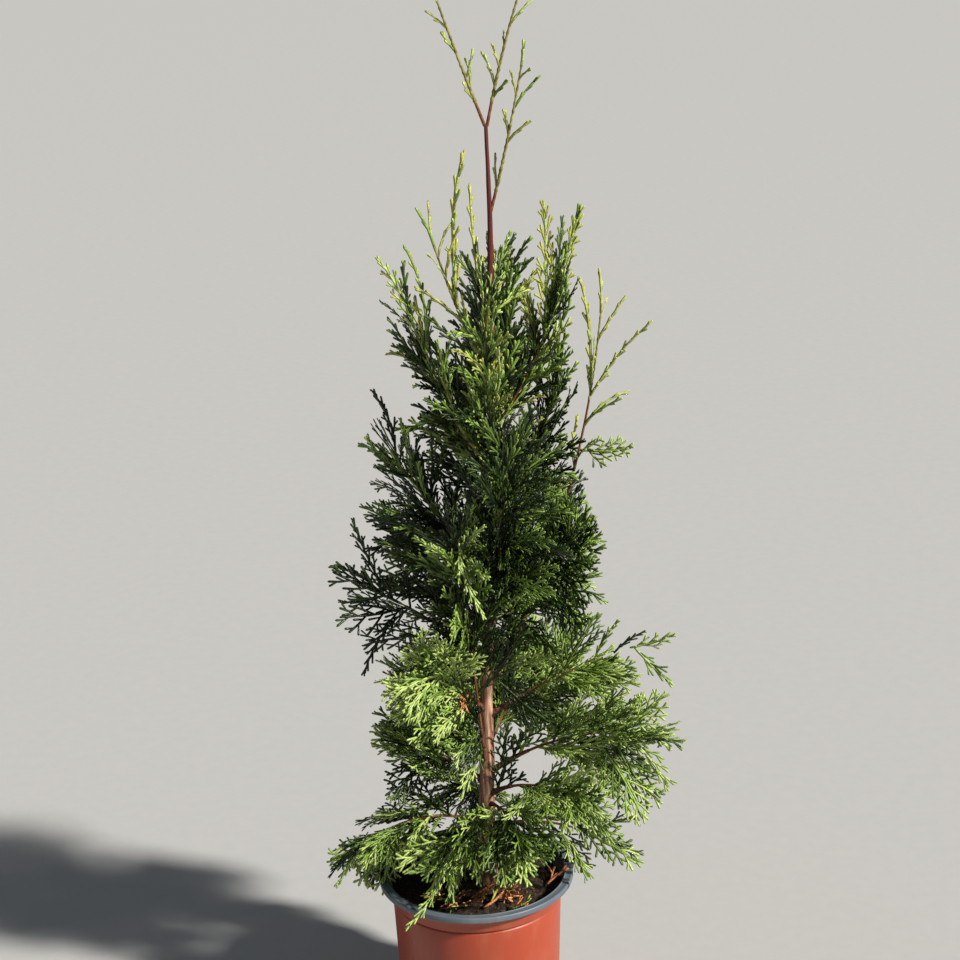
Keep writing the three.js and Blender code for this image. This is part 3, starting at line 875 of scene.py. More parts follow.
templates = {
    (kind, length, v): build_spray(length, habit, 10 * length + v).as_arrays()
    for kind, habit in HABITS.items()
    for length in SPRAY_LENGTHS
    for v in range(VARIANTS)
}
first_variants = {key[:2]: len(arrays[1]) for key, arrays in templates.items() if key[2] == 0}
print("triangles by habit and length:", first_variants)

# %% [markdown]
# ## Foliage colours
#
# Inside the crown the scale leaves get a deep green, which there and on the left lobe is painted
# shade, outside they are fresher, and this year's shoots at the top are yellow-green. The brightest
# lime, dealt on the lower left lobe and on some shoots, is partly painted light. A few sprays have
# died to orange-brown. Each is a plain base colour dealt out by spray, with a slight mottle, and a
# bump at the size of the scale leaves gives the branchlets their beaded look.


# %% Foliage finishes
LEAF_ROUGHNESS = 0.4
MOTTLE_GRAIN, SCALE_GRAIN = 150, 620  # per metre
MOTTLE_DARK, MOTTLE_LIGHT = 0.62, 1.3


def leaf_finish(name, colour):
    material, nodes, links, shader = new_finish(name, LEAF_ROUGHNESS)
    mottle = noise_on_object(nodes, links, MOTTLE_GRAIN, (1, 1, 1), 3)
    dark = tuple(c * MOTTLE_DARK for c in colour)
    light = tuple(min(1, c * MOTTLE_LIGHT) for c in colour)
    stops = [(0.3, dark), (0.52, colour), (0.74, light)]
    links.new(ramp(nodes, links, mottle, stops), shader.inputs["Base Color"])
    scales = nodes.new("ShaderNodeTexVoronoi")
    scales.inputs["Scale"].default_value = SCALE_GRAIN
    place = nodes.new("ShaderNodeTexCoord")
    links.new(place.outputs["Object"], scales.inputs["Vector"])
    add_bump(nodes, links, shader, scales.outputs["Distance"], 0.5, 0.0006)
    shader.inputs["Specular IOR Level"].default_value = 0.55
    return material


TONES = {
    "deep": (0.009, 0.021, 0.003),
    "shade": (0.027, 0.056, 0.006),
    "leaf": (0.085, 0.142, 0.018),
    "fresh": (0.19, 0.3, 0.05),
    "lime": (0.36, 0.47, 0.13),
    "straw": (0.38, 0.4, 0.09),
    "dead": (0.5, 0.19, 0.07),
}
TONE_ORDER = list(TONES)
leaf_finishes = [leaf_finish("leaf_" + tone, colour) for tone, colour in TONES.items()]

# %% [markdown]
# ## Which foliage grows where
#
# The plant isn't the same all round. The left lobe is dark and open, its dark tones painted shade,
# the lower left stands forward bright and yellow-green, partly painted light, the lower right is
# fresh, and the top is young. So each part of the crown gets its own habit of spray, its mix of
# tones, how far its sprays sag, and how many finer sprays fill the spaces between the main ones. A
# limb takes the first look whose name its own name starts with, so the longer names come first.

# %% Looks
# Nearly all deep tone: painted shade for the left lobe and for the twigs that show dark in the
# shaded gaps by the trunk.
DARK_PAINTED_SHADE = {"deep": 0.95, "shade": 0.05}
# Mostly deep and shade tones: painted shade for the crown's shaded inside, with some leaf and fresh
# green.
CORE_PAINTED_SHADE = {"deep": 0.42, "shade": 0.32, "leaf": 0.18, "fresh": 0.08}
GREEN = {"shade": 0.14, "leaf": 0.36, "fresh": 0.4, "lime": 0.1}
# A mix of greens whose deep share is painted shade on the shaded parts of the left skirt and the
# lower left.
MIXED_WITH_PAINTED_SHADE = {"deep": 0.2, "shade": 0.16, "leaf": 0.24, "fresh": 0.3, "lime": 0.1}
# Fresh and lime: partly the colour of new growth, partly painted light on the sunlit lower left lobe
# and on shoots that stand in the light.
FRESH_AND_PAINTED_LIGHT = {"leaf": 0.1, "fresh": 0.3, "lime": 0.6}
YOUNG = {"deep": 0.22, "shade": 0.2, "leaf": 0.2, "fresh": 0.14, "lime": 0.1, "straw": 0.14}
SHOOT = {"leaf": 0.06, "fresh": 0.22, "lime": 0.36, "straw": 0.36}
# Lime only: painted light that makes sprays shaded by other sprays look sunlit.
LIME_PAINTED_LIGHT = {"lime": 1}
DEAD = {"dead": 1}


def look(main, fine, tones, sag, finer, brown=0.6, stand=(28, 60), span=(None, None), roll=85):
    """Habits of the main and finer sprays, tones, sag, how many finer ones, share that is
    brown, angles of the finer ones, where on the limb they begin and end, and how far they
    roll about it."""
    names = ("main", "fine", "tones", "sag", "finer", "brown", "stand", "span", "roll")
    return dict(zip(names, (main, fine, tones, sag, finer, brown, stand, span, roll)))


LOOKS = {
    "skirt_front_left": look("fan", "broom", GREEN, 0.1, 14),
    "skirt_front": look("fan", "fan", GREEN, 0.04, 16),
    "skirt_right": look("fan", "broom", GREEN, 0.08, 6),
    "skirt_left": look("fan", "fan", MIXED_WITH_PAINTED_SHADE, 0.08, 20),
    "skirt": look("fan", "fan", GREEN, 0.08, 20),
    "low_left_outer": look("fan", "broom", MIXED_WITH_PAINTED_SHADE, 0.06, 28),
    "low_left": look("fan", "fan", FRESH_AND_PAINTED_LIGHT, 0, 34, span=(0.12, None), roll=32),
    "low_right_front": look("fan", "broom", GREEN, -0.04, 24, stand=(20, 60)),
    "low_right": look("fan", "broom", GREEN, -0.06, 38, stand=(20, 65), span=(0.3, None)),
    "low_back": look("fan", "fan", GREEN, 0.1, 52, span=(0.1, None)),
    "mid_left_high": look("broom", "plume", CORE_PAINTED_SHADE, 0, 40, stand=(8, 50), span=(0.05, None)),
    "mid_left": look("open_fan", "plume", DARK_PAINTED_SHADE, 0.02, 4, stand=(15, 60), span=(0.05, None)),
    "mid_right": look("fan", "broom", CORE_PAINTED_SHADE, 0, 66, span=(0.03, None)),
    "mid_front": look("fan", "broom", CORE_PAINTED_SHADE, 0.02, 96, stand=(12, 60), span=(0.03, None)),
    "mid_back": look("fan", "broom", CORE_PAINTED_SHADE, 0.02, 44, span=(0.05, None)),
    "right_riser": look("whip", "whip", SHOOT, 0, 3, 0.72, (8, 24)),
    "high_front": look("broom", "broom", CORE_PAINTED_SHADE, 0.02, 90, stand=(8, 50), span=(0.03, None)),
    "high": look("broom", "plume", CORE_PAINTED_SHADE, 0.02, 60, stand=(8, 50), span=(0.03, None)),
    "upper_left_shoot": look("whip", "whip", SHOOT, 0, 8, 0.16, (8, 24)),
    "upper_front": look("plume", "plume", YOUNG, 0, 98, 0.5, (4, 38), (0.02, 0.9)),
    "upper_back": look("plume", "plume", YOUNG, 0, 84, 0.5, (4, 38), (0.02, 0.72)),
    "upper_right": look("plume", "plume", YOUNG, 0, 38, 0.5, (4, 34), (0.02, 0.56)),
    "upper": look("plume", "plume", YOUNG, 0, 52, 0.5, (4, 34), (0.02, 0.62)),
    "leader": look("whip", "whip", SHOOT, 0, 3, 0.14, (8, 24)),
}


def look_of(name):
    return next(found for start, found in LOOKS.items() if name.startswith(start))


# %% [markdown]
# ## Where the sprays stand
#
# The model's rule puts a few large sprays on each limb. Here the same places come first, in
# the same order and with the same random numbers, and then smaller sprays fill the spaces
# between them, as on the real plant. Each spray keeps to the space nearest its own limb. It
# is tried whole, then turned or shorter. It stays in the crown's outline and clear of the
# soil and the pot's lip, and it leaves open the gap low down where the trunk shows.

# %% Places on a limb
LAST_SHARE = 0.72  # the length of a limb's last spray, as a share of the others'
STAND_ANGLE = 46
ROLL_SPREAD, STAND_SPREAD, SIZE_SPREAD = 24, 8, (0.88, 1.08)
FINER_SIZES, FINER_SPREAD = (0.85, 0.5), (0.7, 1.2)  # from the trunk out, and by chance
WHIP_STAND = 0.5  # share of that angle at which a whip's few sprays stand
MARKS = 15


def spray_span(name):
    mass, length = MASSES[name], LENGTHS[name]
    start = mass["bare"] + (GAP / length if mass["bare"] else 0)
    return start, 1 - mass["spray"] * LAST_SHARE / length


def main_places(name, random):
    mass = MASSES[name]
    start, end = spray_span(name)
    sides = mass["sprays"] - 1
    upright = WHIP_STAND if look_of(name)["main"] == "whip" else 1
    places = []
    for i in range(sides):
        t = mix(start, end, (i + 0.6) / (sides + 0.2))
        roll = mass["roll"] + mix(-ROLL_SPREAD, ROLL_SPREAD, random())
        stand = (STAND_ANGLE + mix(-STAND_SPREAD, STAND_SPREAD, random())) * upright
        size = mass["spray"] * mix(1, LAST_SHARE, i / sides) * mix(*SIZE_SPREAD, random())
        places.append((t, -1 if i % 2 else 1, roll, stand, size))
    places.append((end, 1, mass["roll"], 0, mass["spray"] * LAST_SHARE))
    return places


def finer_places(name, random):
    mass, habit = MASSES[name], look_of(name)
    start, end = spray_span(name)
    first, last = habit["span"]
    first, last = first or start, last or mix(end, 1, 0.6)
    places = []
    for i in range(habit["finer"]):
        t = mix(first, last, (i + 0.5) / habit["finer"])
        hand = -1 if random() < 0.5 else 1
        roll = mass["roll"] + mix(-habit["roll"], habit["roll"], random())
        stand = mix(*habit["stand"], random())
        size = mass["spray"] * mix(*FINER_SIZES, t) * mix(*FINER_SPREAD, random())
        places.append((t, hand, roll, stand, size))
    return places


# %% Space that a spray keeps to
MAIN_MARGIN = 1.2
FINER_MARGIN = -16
POT_CLEARANCE = 1.5
LIP_INSIDE, LIP_OUTSIDE, LIP_TOP = 84, 97, 160

# height over the floor, reach to the left, reach to the right
CROWN = [
    (144, -98, 96), (158, -138, 124), (178, -146, 162), (198, -125, 150),
    (209, -110, 144), (224, -94, 178), (240, -90, 184), (277, -88, 200),
    (309, -92, 206), (350, -92, 172), (372, -94, 150), (386, -96, 128),
    (404, -102, 120), (424, -106, 124), (440, -116, 136), (460, -124, 132),
    (484, -130, 130), (500, -118, 134), (532, -106, 124), (560, -86, 116),
    (609, -92, 108), (630, -78, 106), (677, -62, 104), (724, -66, 104), (778, -68, 112),
    (818, -42, 120), (830, -36, 90), (860, -20, 84), (900, -16, 76),
]
CROWN_HEIGHTS, CROWN_LEFT, CROWN_RIGHT = np.array(CROWN).T
CROWN_DEPTH = 112
MAIN_SLACK, FINER_SLACK = 5, -5


def marks_of(name):
    start = MASSES[name]["bare"]
    spots = [point_on(LINES[name], mix(start, 1, i / (MARKS - 1))) for i in range(MARKS)]
    return np.array(spots)


ALL_MARKS = {name: marks_of(name) for name in MASSES}


def nearest(points, marks):
    return np.linalg.norm(points[:, None] - marks[None], axis=2).min(axis=1)


def keeps_its_space(name, corners, margin):
    home = nearest(corners, ALL_MARKS[name])
    others = np.concatenate([marks for other, marks in ALL_MARKS.items() if other != name])
    return (nearest(corners, others) > home + margin).all()


def inside_crown(corners, slack):
    left = np.interp(corners[:, 2], CROWN_HEIGHTS, CROWN_LEFT) - slack
    right = np.interp(corners[:, 2], CROWN_HEIGHTS, CROWN_RIGHT) + slack
    deep = np.abs(corners[:, 1]) < np.minimum((right - left) / 2, CROWN_DEPTH)
    return ((corners[:, 0] > left) & (corners[:, 0] < right) & deep).all()


def clear_of_pot(corners):
    radius = np.hypot(corners[:, 0], corners[:, 1])
    surface = np.where(radius > LIP_INSIDE, LIP_TOP, SOIL_CREST) + POT_CLEARANCE
    return not ((radius < LIP_OUTSIDE) & (corners[:, 2] < surface)).any()


# %% Clearings
SLANT = math.tan(math.radians(24))  # the eye looks down on the lower crown at this angle
# left, right, low and high edge as seen from the front, how far back the clearing goes, and
# the share of it that may be filled
CLEARINGS = [
    (-4, 27, 236, 362, 0, 0),
    (4, 24, 362, 424, 0, 0.3),
    (25, 64, 240, 322, 120, 0.15),
    (44, 82, 326, 362, 120, 0.3),
]


def leaves_clearings(corners):
    """The trunk's bare stretch and the gaps beside it stay open, as seen from the front."""
    across, up = corners[:, 0], corners[:, 2] + SLANT * corners[:, 1]
    for left, right, low, high, back, filled in CLEARINGS:
        inside = (across > left) & (across < right) & (up > low) & (up < high)
        if (inside & (corners[:, 1] < back)).mean() > filled:
            return False
    return True


def spray_frame(line, place, extra_roll):
    t, hand, roll, stand, _ = place
    point, tangent, side, lift = frame_on(line, t)
    roll, stand = math.radians(roll + extra_roll), math.radians(stand)
    wing = (side * math.cos(roll) + lift * math.sin(roll)) * hand
    along = tangent * math.cos(stand) + wing * math.sin(stand)
    across = wing * math.cos(stand) - tangent * math.sin(stand)
    return point, along, across


# %% [markdown]
# ## Planting
#
# A planted spray is a template moved to its place, curved a little sideways, and sagged under its
# own weight. All sprays of a group of limbs are gathered into one mesh, which is filled straight
# from arrays, and every triangle gets the finish of its spray, one step fresher near the tips,
# partly the new growth and partly painted light on the sunlit tips.


# %% Planting
class Thicket:
    """Arrays of sprays that will be one mesh."""

    def __init__(self):
        self.points, self.faces, self.finishes, self.count = [], [], [], 0

    def add(self, points, faces, finishes):
        self.points.append(points)
        self.faces.append(faces + self.count)
        self.finishes.append(finishes)
        self.count += len(points)


def bent(points, length, scale, frame_at, curl, sag):
    root, along, across = frame_at
    x, y, z = points.T * scale
    far = length * scale
    angle = curl * np.clip(x / far, 0, 1.2)
    ahead = far / curl * np.sin(angle) - y * np.sin(angle) + np.minimum(x, 0)
    aside = far / curl * (1 - np.cos(angle)) + y * np.cos(angle)
    level = np.outer(ahead, along) + np.outer(aside, across)
    placed = root + level + np.outer(z, np.cross(along, across))
    placed[:, 2] -= sag * (ahead**2 + aside**2) / far
    return placed


# shares of a spray's length and half width, at its tip and along both edges
OUTLINE_SPOTS = [
    (1, 0), (0.75, 0.5), (0.75, -0.5), (0.45, 0.8), (0.45, -0.8), (0.2, 0.5), (0.2, -0.5),
]
TRY_SHARES = (1, 0.88, 0.76, 0.64, 0.52, 0.42)
TRY_ROLLS = (0, 20, -20, 45, -45, 75, -75)
TRIES = [(share, roll) for share in TRY_SHARES for roll in TRY_ROLLS]
CURL = (0.05, 0.6)  # radians by which a spray bends in its plane
# Tips a step lighter: partly new growth, partly painted light on the sunlit tips.
FRESH_AND_LIT_TIPS = (0.5, 0.95)  # from this share of the spray on, the leaves are a step fresher


def outline_of(frame_at, size, width, sag):
    root, along, across = frame_at
    spots = [
        root + along * size * u + across * size * width * v - UP * sag * size * u * u
        for u, v in OUTLINE_SPOTS
    ]
    return np.array(spots)


ALLOWANCE = 0.02  # share of the frame's box by which a spray may pass it
LOWEST, HIGHEST = (np.array(corner) / MM for corner in cad_box)
SLACK = (HIGHEST - LOWEST) * ALLOWANCE
ROOM = LOWEST - SLACK, HIGHEST + SLACK


def kept_in_box(placed, root):
    """The spray, shrunk about its root until it stays in the frame's box, or nearly so."""
    reach = placed - root
    room = np.where(reach > 0, ROOM[1] - root, ROOM[0] - root)
    shares = room / np.where(np.abs(reach) < 1, np.copysign(1, reach), reach)
    return root + reach * min(1, shares.min())


def aimed_at(placed, root, found, tip):
    """The points turned and scaled about their root until the found one is at the tip."""
    have, want = Vector(found - root), Vector(tip - root)
    turn = np.array(have.rotation_difference(want).to_matrix())
    return root + (placed - root) @ turn.T * (want.length / have.length)


def add_spray(thicket, rng, kind, frame_at, size, tones, sag, tip=None):
    length = min(SPRAY_LENGTHS, key=lambda known: abs(known - size))
    points, faces, age, twig = templates[kind, length, int(rng.integers(VARIANTS))]
    curl = rng.choice((-1, 1)) * rng.uniform(*CURL)
    placed = bent(points, length, size / length, frame_at, curl, sag)
    if tip is not None:
        placed = aimed_at(placed, frame_at[0], placed[np.argmax(points[:, 0])], tip)
    placed = kept_in_box(placed, frame_at[0])
    tone = TONE_ORDER.index(rng.choice(list(tones), p=list(tones.values())))
    uneven = rng.choice((-1, 0, 0, 1), size=twig.max() + 1)[twig]
    # One step lighter at the tips, partly new growth and partly painted light.
    fresher_and_lit = age > rng.uniform(*FRESH_AND_LIT_TIPS)
    newest = max(TONE_ORDER.index(known) for known in tones)
    finishes = np.clip(tone + uneven + fresher_and_lit, 0, newest)
    thicket.add(placed, faces, finishes)
    return len(faces)


def plant(thicket, rng, name, place, kind, margin, slack):
    habit = look_of(name)
    width = HABITS[kind]["reach"]
    bounded = kind != "whip"
    for share, roll in TRIES:
        frame_at = spray_frame(LINES[name], place, roll)
        corners = outline_of(frame_at, place[4] * share, width, habit["sag"])
        if bounded and not (inside_crown(corners, slack) and leaves_clearings(corners)):
            continue
        if clear_of_pot(corners) and keeps_its_space(name, corners, margin):
            size = place[4] * share
            return add_spray(thicket, rng, kind, frame_at, size, habit["tones"], habit["sag"])
    return 0


# %% [markdown]
# ## Single shoots
#
# A few shoots stand out of the mass and give the plant its own outline: the tips of the dark
# lobe, the forked whips on the right, the sprig that hangs over the lip. Each one is stated
# by the limb that it grows from, how far along the limb, and where its tip is.

# %% Single shoots
# for each limb: share along it, tip in millimetres, habit, tones, turn about its axis
# Shoots given the darkest tone mixes carry painted shade, and those given lime carry painted light.
SHOOTS = {
    "leader_side": [
        (0.62, (83, -4, 936), "whip", SHOOT, 0),
    ],
    "leader_left": [
        (0.3, (24, -6, 962), "whip", SHOOT, 20),
    ],
    "leader_right": [
        (0.35, (40, -8, 966), "whip", SHOOT, 0),
    ],
    "upper_front": [
        (0.8, (17, -8, 844), "whip", SHOOT, 0), (0.85, (54, -14, 800), "plume", SHOOT, 10),
        (0.3, (50, -40, 780), "plume", FRESH_AND_PAINTED_LIGHT, 0),
    ],
    "upper_left_shoot": [
        (0.45, (14, 2, 872), "whip", SHOOT, 0),
    ],
    "upper_left": [
        (0.7, (-68, -2, 780), "plume", SHOOT, 0), (0.62, (-44, -6, 790), "whip", YOUNG, 20),
        (0.4, (-62, 4, 722), "whip", SHOOT, 10), (0.3, (-58, -6, 700), "plume", YOUNG, 0),
    ],
    "upper_right": [
        (0.5, (119, 0, 818), "plume", SHOOT, 0), (0.5, (100, -6, 812), "plume", YOUNG, 20),
        (0.45, (79, -6, 826), "plume", SHOOT, 15), (0.2, (100, -10, 764), "plume", YOUNG, -20),
    ],
    "upper_back": [
        (0.5, (-6, 42, 776), "plume", YOUNG, 0), (0.6, (34, 48, 788), "plume", YOUNG, 20),
        (0.4, (62, 38, 760), "plume", YOUNG, 0),
    ],
    "right_riser": [
        (0.06, (30, -44, 424), "fan", CORE_PAINTED_SHADE, 10), (0.08, (42, -46, 448), "fan", CORE_PAINTED_SHADE, -10),
        (0.12, (58, -42, 432), "fan", CORE_PAINTED_SHADE, 0), (0.16, (36, -50, 470), "fan", GREEN, 10),
        (0.2, (66, -44, 462), "fan", CORE_PAINTED_SHADE, 0), (0.26, (50, -46, 490), "fan", CORE_PAINTED_SHADE, 0),
        (0.3, (78, -40, 494), "broom", CORE_PAINTED_SHADE, 0), (0.06, (84, -50, 404), "broom", FRESH_AND_PAINTED_LIGHT, -10),
        (0.04, (84, -24, 320), "fan", DARK_PAINTED_SHADE, 0), (0.74, (113, -2, 754), "whip", SHOOT, 10),
        (0.72, (178, -4, 712), "whip", SHOOT, 0), (0.6, (160, -10, 594), "fan", LIME_PAINTED_LIGHT, -40),
        (0.66, (150, -6, 640), "whip", LIME_PAINTED_LIGHT, 0),
    ],
    "high_right": [
        (0.6, (112, -6, 676), "plume", YOUNG, 0),
    ],
    "mid_left_high": [
        (0.7, (-88, 0, 610), "plume", GREEN, 0), (0.45, (-72, -8, 546), "plume", YOUNG, 0),
    ],
    "mid_left": [
        (0.7, (-104, -4, 533), "plume", DARK_PAINTED_SHADE, 0), (0.72, (-128, -2, 484), "plume", DARK_PAINTED_SHADE, 15),
        (0.7, (-121, 0, 450), "broom", DARK_PAINTED_SHADE, 0), (0.55, (-102, -6, 374), "plume", DARK_PAINTED_SHADE, 0),
    ],
    "mid_front": [
        (0.04, (-6, -40, 330), "broom", CORE_PAINTED_SHADE, 0), (0.06, (-24, -44, 318), "broom", GREEN, 10),
        (0.08, (-16, -48, 352), "broom", CORE_PAINTED_SHADE, -10), (0.1, (-28, -46, 352), "broom", GREEN, 0),
        (0.12, (-14, -52, 262), "broom", GREEN, 0), (0.16, (-30, -52, 288), "broom", CORE_PAINTED_SHADE, 15),
        (0.2, (-20, -56, 300), "broom", GREEN, 0), (0.2, (-6, -54, 392), "broom", CORE_PAINTED_SHADE, 0),
        (0.85, (20, -80, 549), "plume", FRESH_AND_PAINTED_LIGHT, -30), (0.95, (16, -94, 462), "plume", LIME_PAINTED_LIGHT, -30),
        (0.9, (24, -90, 502), "plume", FRESH_AND_PAINTED_LIGHT, -30), (0.75, (-14, -92, 446), "plume", LIME_PAINTED_LIGHT, -30),
        (0.85, (-44, -84, 540), "plume", FRESH_AND_PAINTED_LIGHT, -20), (0.6, (-21, -78, 453), "plume", GREEN, -30),
        (0.9, (-30, -70, 528), "plume", GREEN, 0),
    ],
    "mid_right": [
        (0.8, (121, -6, 527), "plume", YOUNG, 0), (0.7, (134, 0, 499), "plume", YOUNG, 10),
        (0.5, (134, -6, 440), "broom", GREEN, 0),
    ],
    "low_right_high": [
        (0.78, (197, -4, 406), "broom", FRESH_AND_PAINTED_LIGHT, 0), (0.6, (143, -8, 424), "plume", FRESH_AND_PAINTED_LIGHT, 0),
        (0.7, (168, -14, 414), "plume", GREEN, 0), (0.8, (193, -10, 352), "broom", GREEN, 0),
    ],
    "low_right": [
        (0.75, (203, -20, 290), "broom", GREEN, 0), (0.1, (38, -8, 322), "fan", DARK_PAINTED_SHADE, 0),
        (0.16, (52, -10, 312), "fan", DARK_PAINTED_SHADE, 0), (0.2, (66, -8, 330), "fan", CORE_PAINTED_SHADE, 0),
        (0.7, (178, -40, 240), "fan", FRESH_AND_PAINTED_LIGHT, 0), (0.6, (158, -52, 228), "fan", FRESH_AND_PAINTED_LIGHT, -15),
        (0.75, (196, -30, 262), "broom", FRESH_AND_PAINTED_LIGHT, 0),
    ],
    "low_right_front": [
        (0.1, (34, -12, 292), "fan", DARK_PAINTED_SHADE, 0), (0.2, (52, -20, 272), "fan", DARK_PAINTED_SHADE, 0),
    ],
    "skirt_right": [
        (0.7, (164, -16, 178), "broom", GREEN, 20),
    ],
    "skirt_left": [
        (0.7, (-146, -8, 179), "fan", GREEN, 20), (0.62, (-139, -20, 158), "plume", GREEN, 0),
        (0.3, (-44, -40, 222), "fan", GREEN, -20), (0.38, (-66, -44, 212), "fan", GREEN, -20),
        (0.14, (-26, -44, 228), "fan", GREEN, 0),
    ],
    "skirt_front_left": [
        (0.85, (-68, -100, 152), "plume", FRESH_AND_PAINTED_LIGHT, 30), (0.4, (-52, -70, 188), "fan", GREEN, 0),
        (0.5, (-78, -52, 192), "fan", GREEN, 0),
    ],
    "low_left": [
        (0.3, (-10, -46, 352), "fan", DEAD, 0), (0.55, (-62, -72, 426), "fan", LIME_PAINTED_LIGHT, 10),
        (0.5, (-42, -76, 450), "broom", LIME_PAINTED_LIGHT, 0), (0.4, (-26, -78, 446), "broom", LIME_PAINTED_LIGHT, 10),
        (0.35, (-14, -76, 420), "broom", FRESH_AND_PAINTED_LIGHT, 0), (0.45, (-80, -70, 396), "fan", LIME_PAINTED_LIGHT, 10),
        (0.35, (-78, -68, 360), "fan", LIME_PAINTED_LIGHT, 0), (0.3, (-60, -72, 336), "fan", FRESH_AND_PAINTED_LIGHT, -10),
        (0.25, (-36, -74, 340), "fan", LIME_PAINTED_LIGHT, -10),
    ],
    "skirt_front": [
        (0.7, (72, -76, 206), "fan", GREEN, 10), (0.55, (48, -86, 186), "fan", GREEN, -20),
        (0.4, (28, -86, 186), "fan", GREEN, -20), (0.3, (4, -82, 208), "fan", GREEN, -20),
        (0.2, (-22, -76, 226), "fan", FRESH_AND_PAINTED_LIGHT, -10),
    ],
    "low_left_outer": [
        (0.7, (-96, -6, 300), "broom", GREEN, 0),
    ],
}
SHOOT_SAG = 0.02


def aimed_frame(root, tip, turn):
    along = (tip - root) / np.linalg.norm(tip - root)
    level = np.cross((0.0, -1.0, 0.0), along)
    level /= np.linalg.norm(level)
    turn = math.radians(turn)
    return root, along, level * math.cos(turn) + np.cross(along, level) * math.sin(turn)


# %% Grow the foliage
GROUPS = {
    "sprays_skirt": ("skirt_",),
    "sprays_low_left": ("low_left",),
    "sprays_low_right": ("low_right",),
    "sprays_low_back": ("low_back",),
    "sprays_mid_left": ("mid_left",),
    "sprays_mid_front_right": ("mid_right", "mid_front"),
    "sprays_mid_back": ("mid_back",),
    "sprays_high": ("high_",),
    "sprays_upper": ("upper_",),
    "sprays_top_shoots": ("right_riser", "leader_"),
}


def mesh_from(name, thicket):
    points = np.concatenate(thicket.points) * MM
    faces = np.concatenate(thicket.faces)
    data = bpy.data.meshes.new(name)
    data.vertices.add(len(points))
    data.vertices.foreach_set("co", points.ravel())
    data.loops.add(faces.size)
    data.loops.foreach_set("vertex_index", faces.ravel())
    data.polygons.add(len(faces))
    data.polygons.foreach_set("loop_start", np.arange(0, faces.size, 3))
    data.polygons.foreach_set("material_index", np.concatenate(thicket.finishes))
    data.update(calc_edges=True)
    return data


RULE_SEED, RULE_STEP = 1000, 77  # as in the model's rule
SPRAY_SEED = 4000


def grow_limb(thicket, name):
    index = list(MASSES).index(name)
    random = seeded(RULE_SEED + index * RULE_STEP)
    rng = np.random.default_rng(SPRAY_SEED + index)
    kinds, grown = look_of(name), 0
    for place in main_places(name, random):
        grown += plant(thicket, rng, name, place, kinds["main"], MAIN_MARGIN, MAIN_SLACK)
    for place in finer_places(name, random):
        grown += plant(thicket, rng, name, place, kinds["fine"], FINER_MARGIN, FINER_SLACK)
    for share, tip, kind, tones, turn in SHOOTS.get(name, []):
        root = point_on(LINES[name], share)
        size = np.linalg.norm(tip - root)
        frame_at = aimed_frame(root, tip, turn)
        grown += add_spray(thicket, rng, kind, frame_at, size, tones, SHOOT_SAG, tip)
    return grown


def grow_group(group, starts):
    """One mesh with the sprays of every limb whose name starts with one of these."""
    thicket = Thicket()
    names = [name for name in MASSES if name.startswith(starts)]
    grown = sum(grow_limb(thicket, name) for name in names)
    sprays = add_piece(group, mesh_from(group, thicket), leaf_finishes, smooth=False)
    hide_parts(*["foliage_" + name for name in names])
    return grown


print("foliage triangles:", sum(grow_group(*group) for group in GROUPS.items()))

# %% [markdown]
# ## Fallen sprigs
#
# A few dead sprigs lie on the soil and have turned orange-brown. They are small sprays laid
# flat, with their places read off the photograph.

# %% Dead sprigs
# x, y, bearing, length in millimetres
FALLEN = [
    (-12, -26, 250, 40), (-4, -34, 290, 36), (10, -30, 262, 40), (18, -34, 320, 34),
    (-22, -42, 215, 36), (-8, -52, 240, 32), (6, -56, 20, 32), (-36, -12, 160, 28),
    (44, -36, 200, 26), (68, -14, 30, 26), (-4, 40, 80, 26), (-50, -34, 300, 28),
    (30, -60, 330, 26),
]
SPRIG_LIFT = 2.2
SPRIG_SAG = 0.05
SPRIG_RISES, SPRIG_TILTS = (0.2, 0.7), (0.5, 1.2)


def add_sprig(thicket, rng, x, y, bearing, size):
    bearing = math.radians(bearing)
    root = np.array((x, y, soil_height(math.hypot(x, y)) + SPRIG_LIFT))
    along = np.array((math.cos(bearing), math.sin(bearing), rng.uniform(*SPRIG_RISES)))
    along /= np.linalg.norm(along)
    level = np.array((-math.sin(bearing), math.cos(bearing), 0))
    across = level + UP * rng.uniform(*SPRIG_TILTS)
    across -= along * (along @ across)
    across /= np.linalg.norm(across)
    add_spray(thicket, rng, "fan", (root, along, across), size, DEAD, SPRIG_SAG)


litter = Thicket()
sprig_rng = np.random.default_rng(11)
for sprig in FALLEN:
    add_sprig(litter, sprig_rng, *sprig)
fallen = add_piece("fallen_sprigs", mesh_from("fallen_sprigs", litter), leaf_finishes, smooth=False)

# %% [markdown]
# ## Stems inside the foliage
#
# Past the bough's end the limb goes on as a thin stem through its sprays. The older part has
# brown bark and the rest is green and beaded with scale leaves, like the sprays, so each limb
# gets two slim tubes on the same line. They show in the gaps of the crown.

# %% Stems
STEM_TIP, SHOOT_TIP = 0.85, 0.75
STEM_TAPER = 0.7
FORK_OVERLAP = 0.014  # stems with no bough start this share of their length inside the trunk
COLOUR_OVERLAP = 0.01
BEAD_LENGTH, BEAD_SWELL = 6.5, 0.4
BROWN_SIDES, BROWN_RING, BROWN_RELIEF = 8, 5, 0.1
GREEN_SIDES, GREEN_RING, GREEN_RELIEF = 6, 1.1, 0.05


def stem_shares(name):
    """Where on the limb its stem turns from brown to green, and where it ends."""
    bare = MASSES[name]["bare"]
    last = spray_span(name)[1] + 0.02
    return min(mix(bare, last, 0.85), max(bare + 0.08, look_of(name)["brown"])), last


def brown_radius(along):
    return mix(STEM_FOOT, STEM_TIP, along**STEM_TAPER)


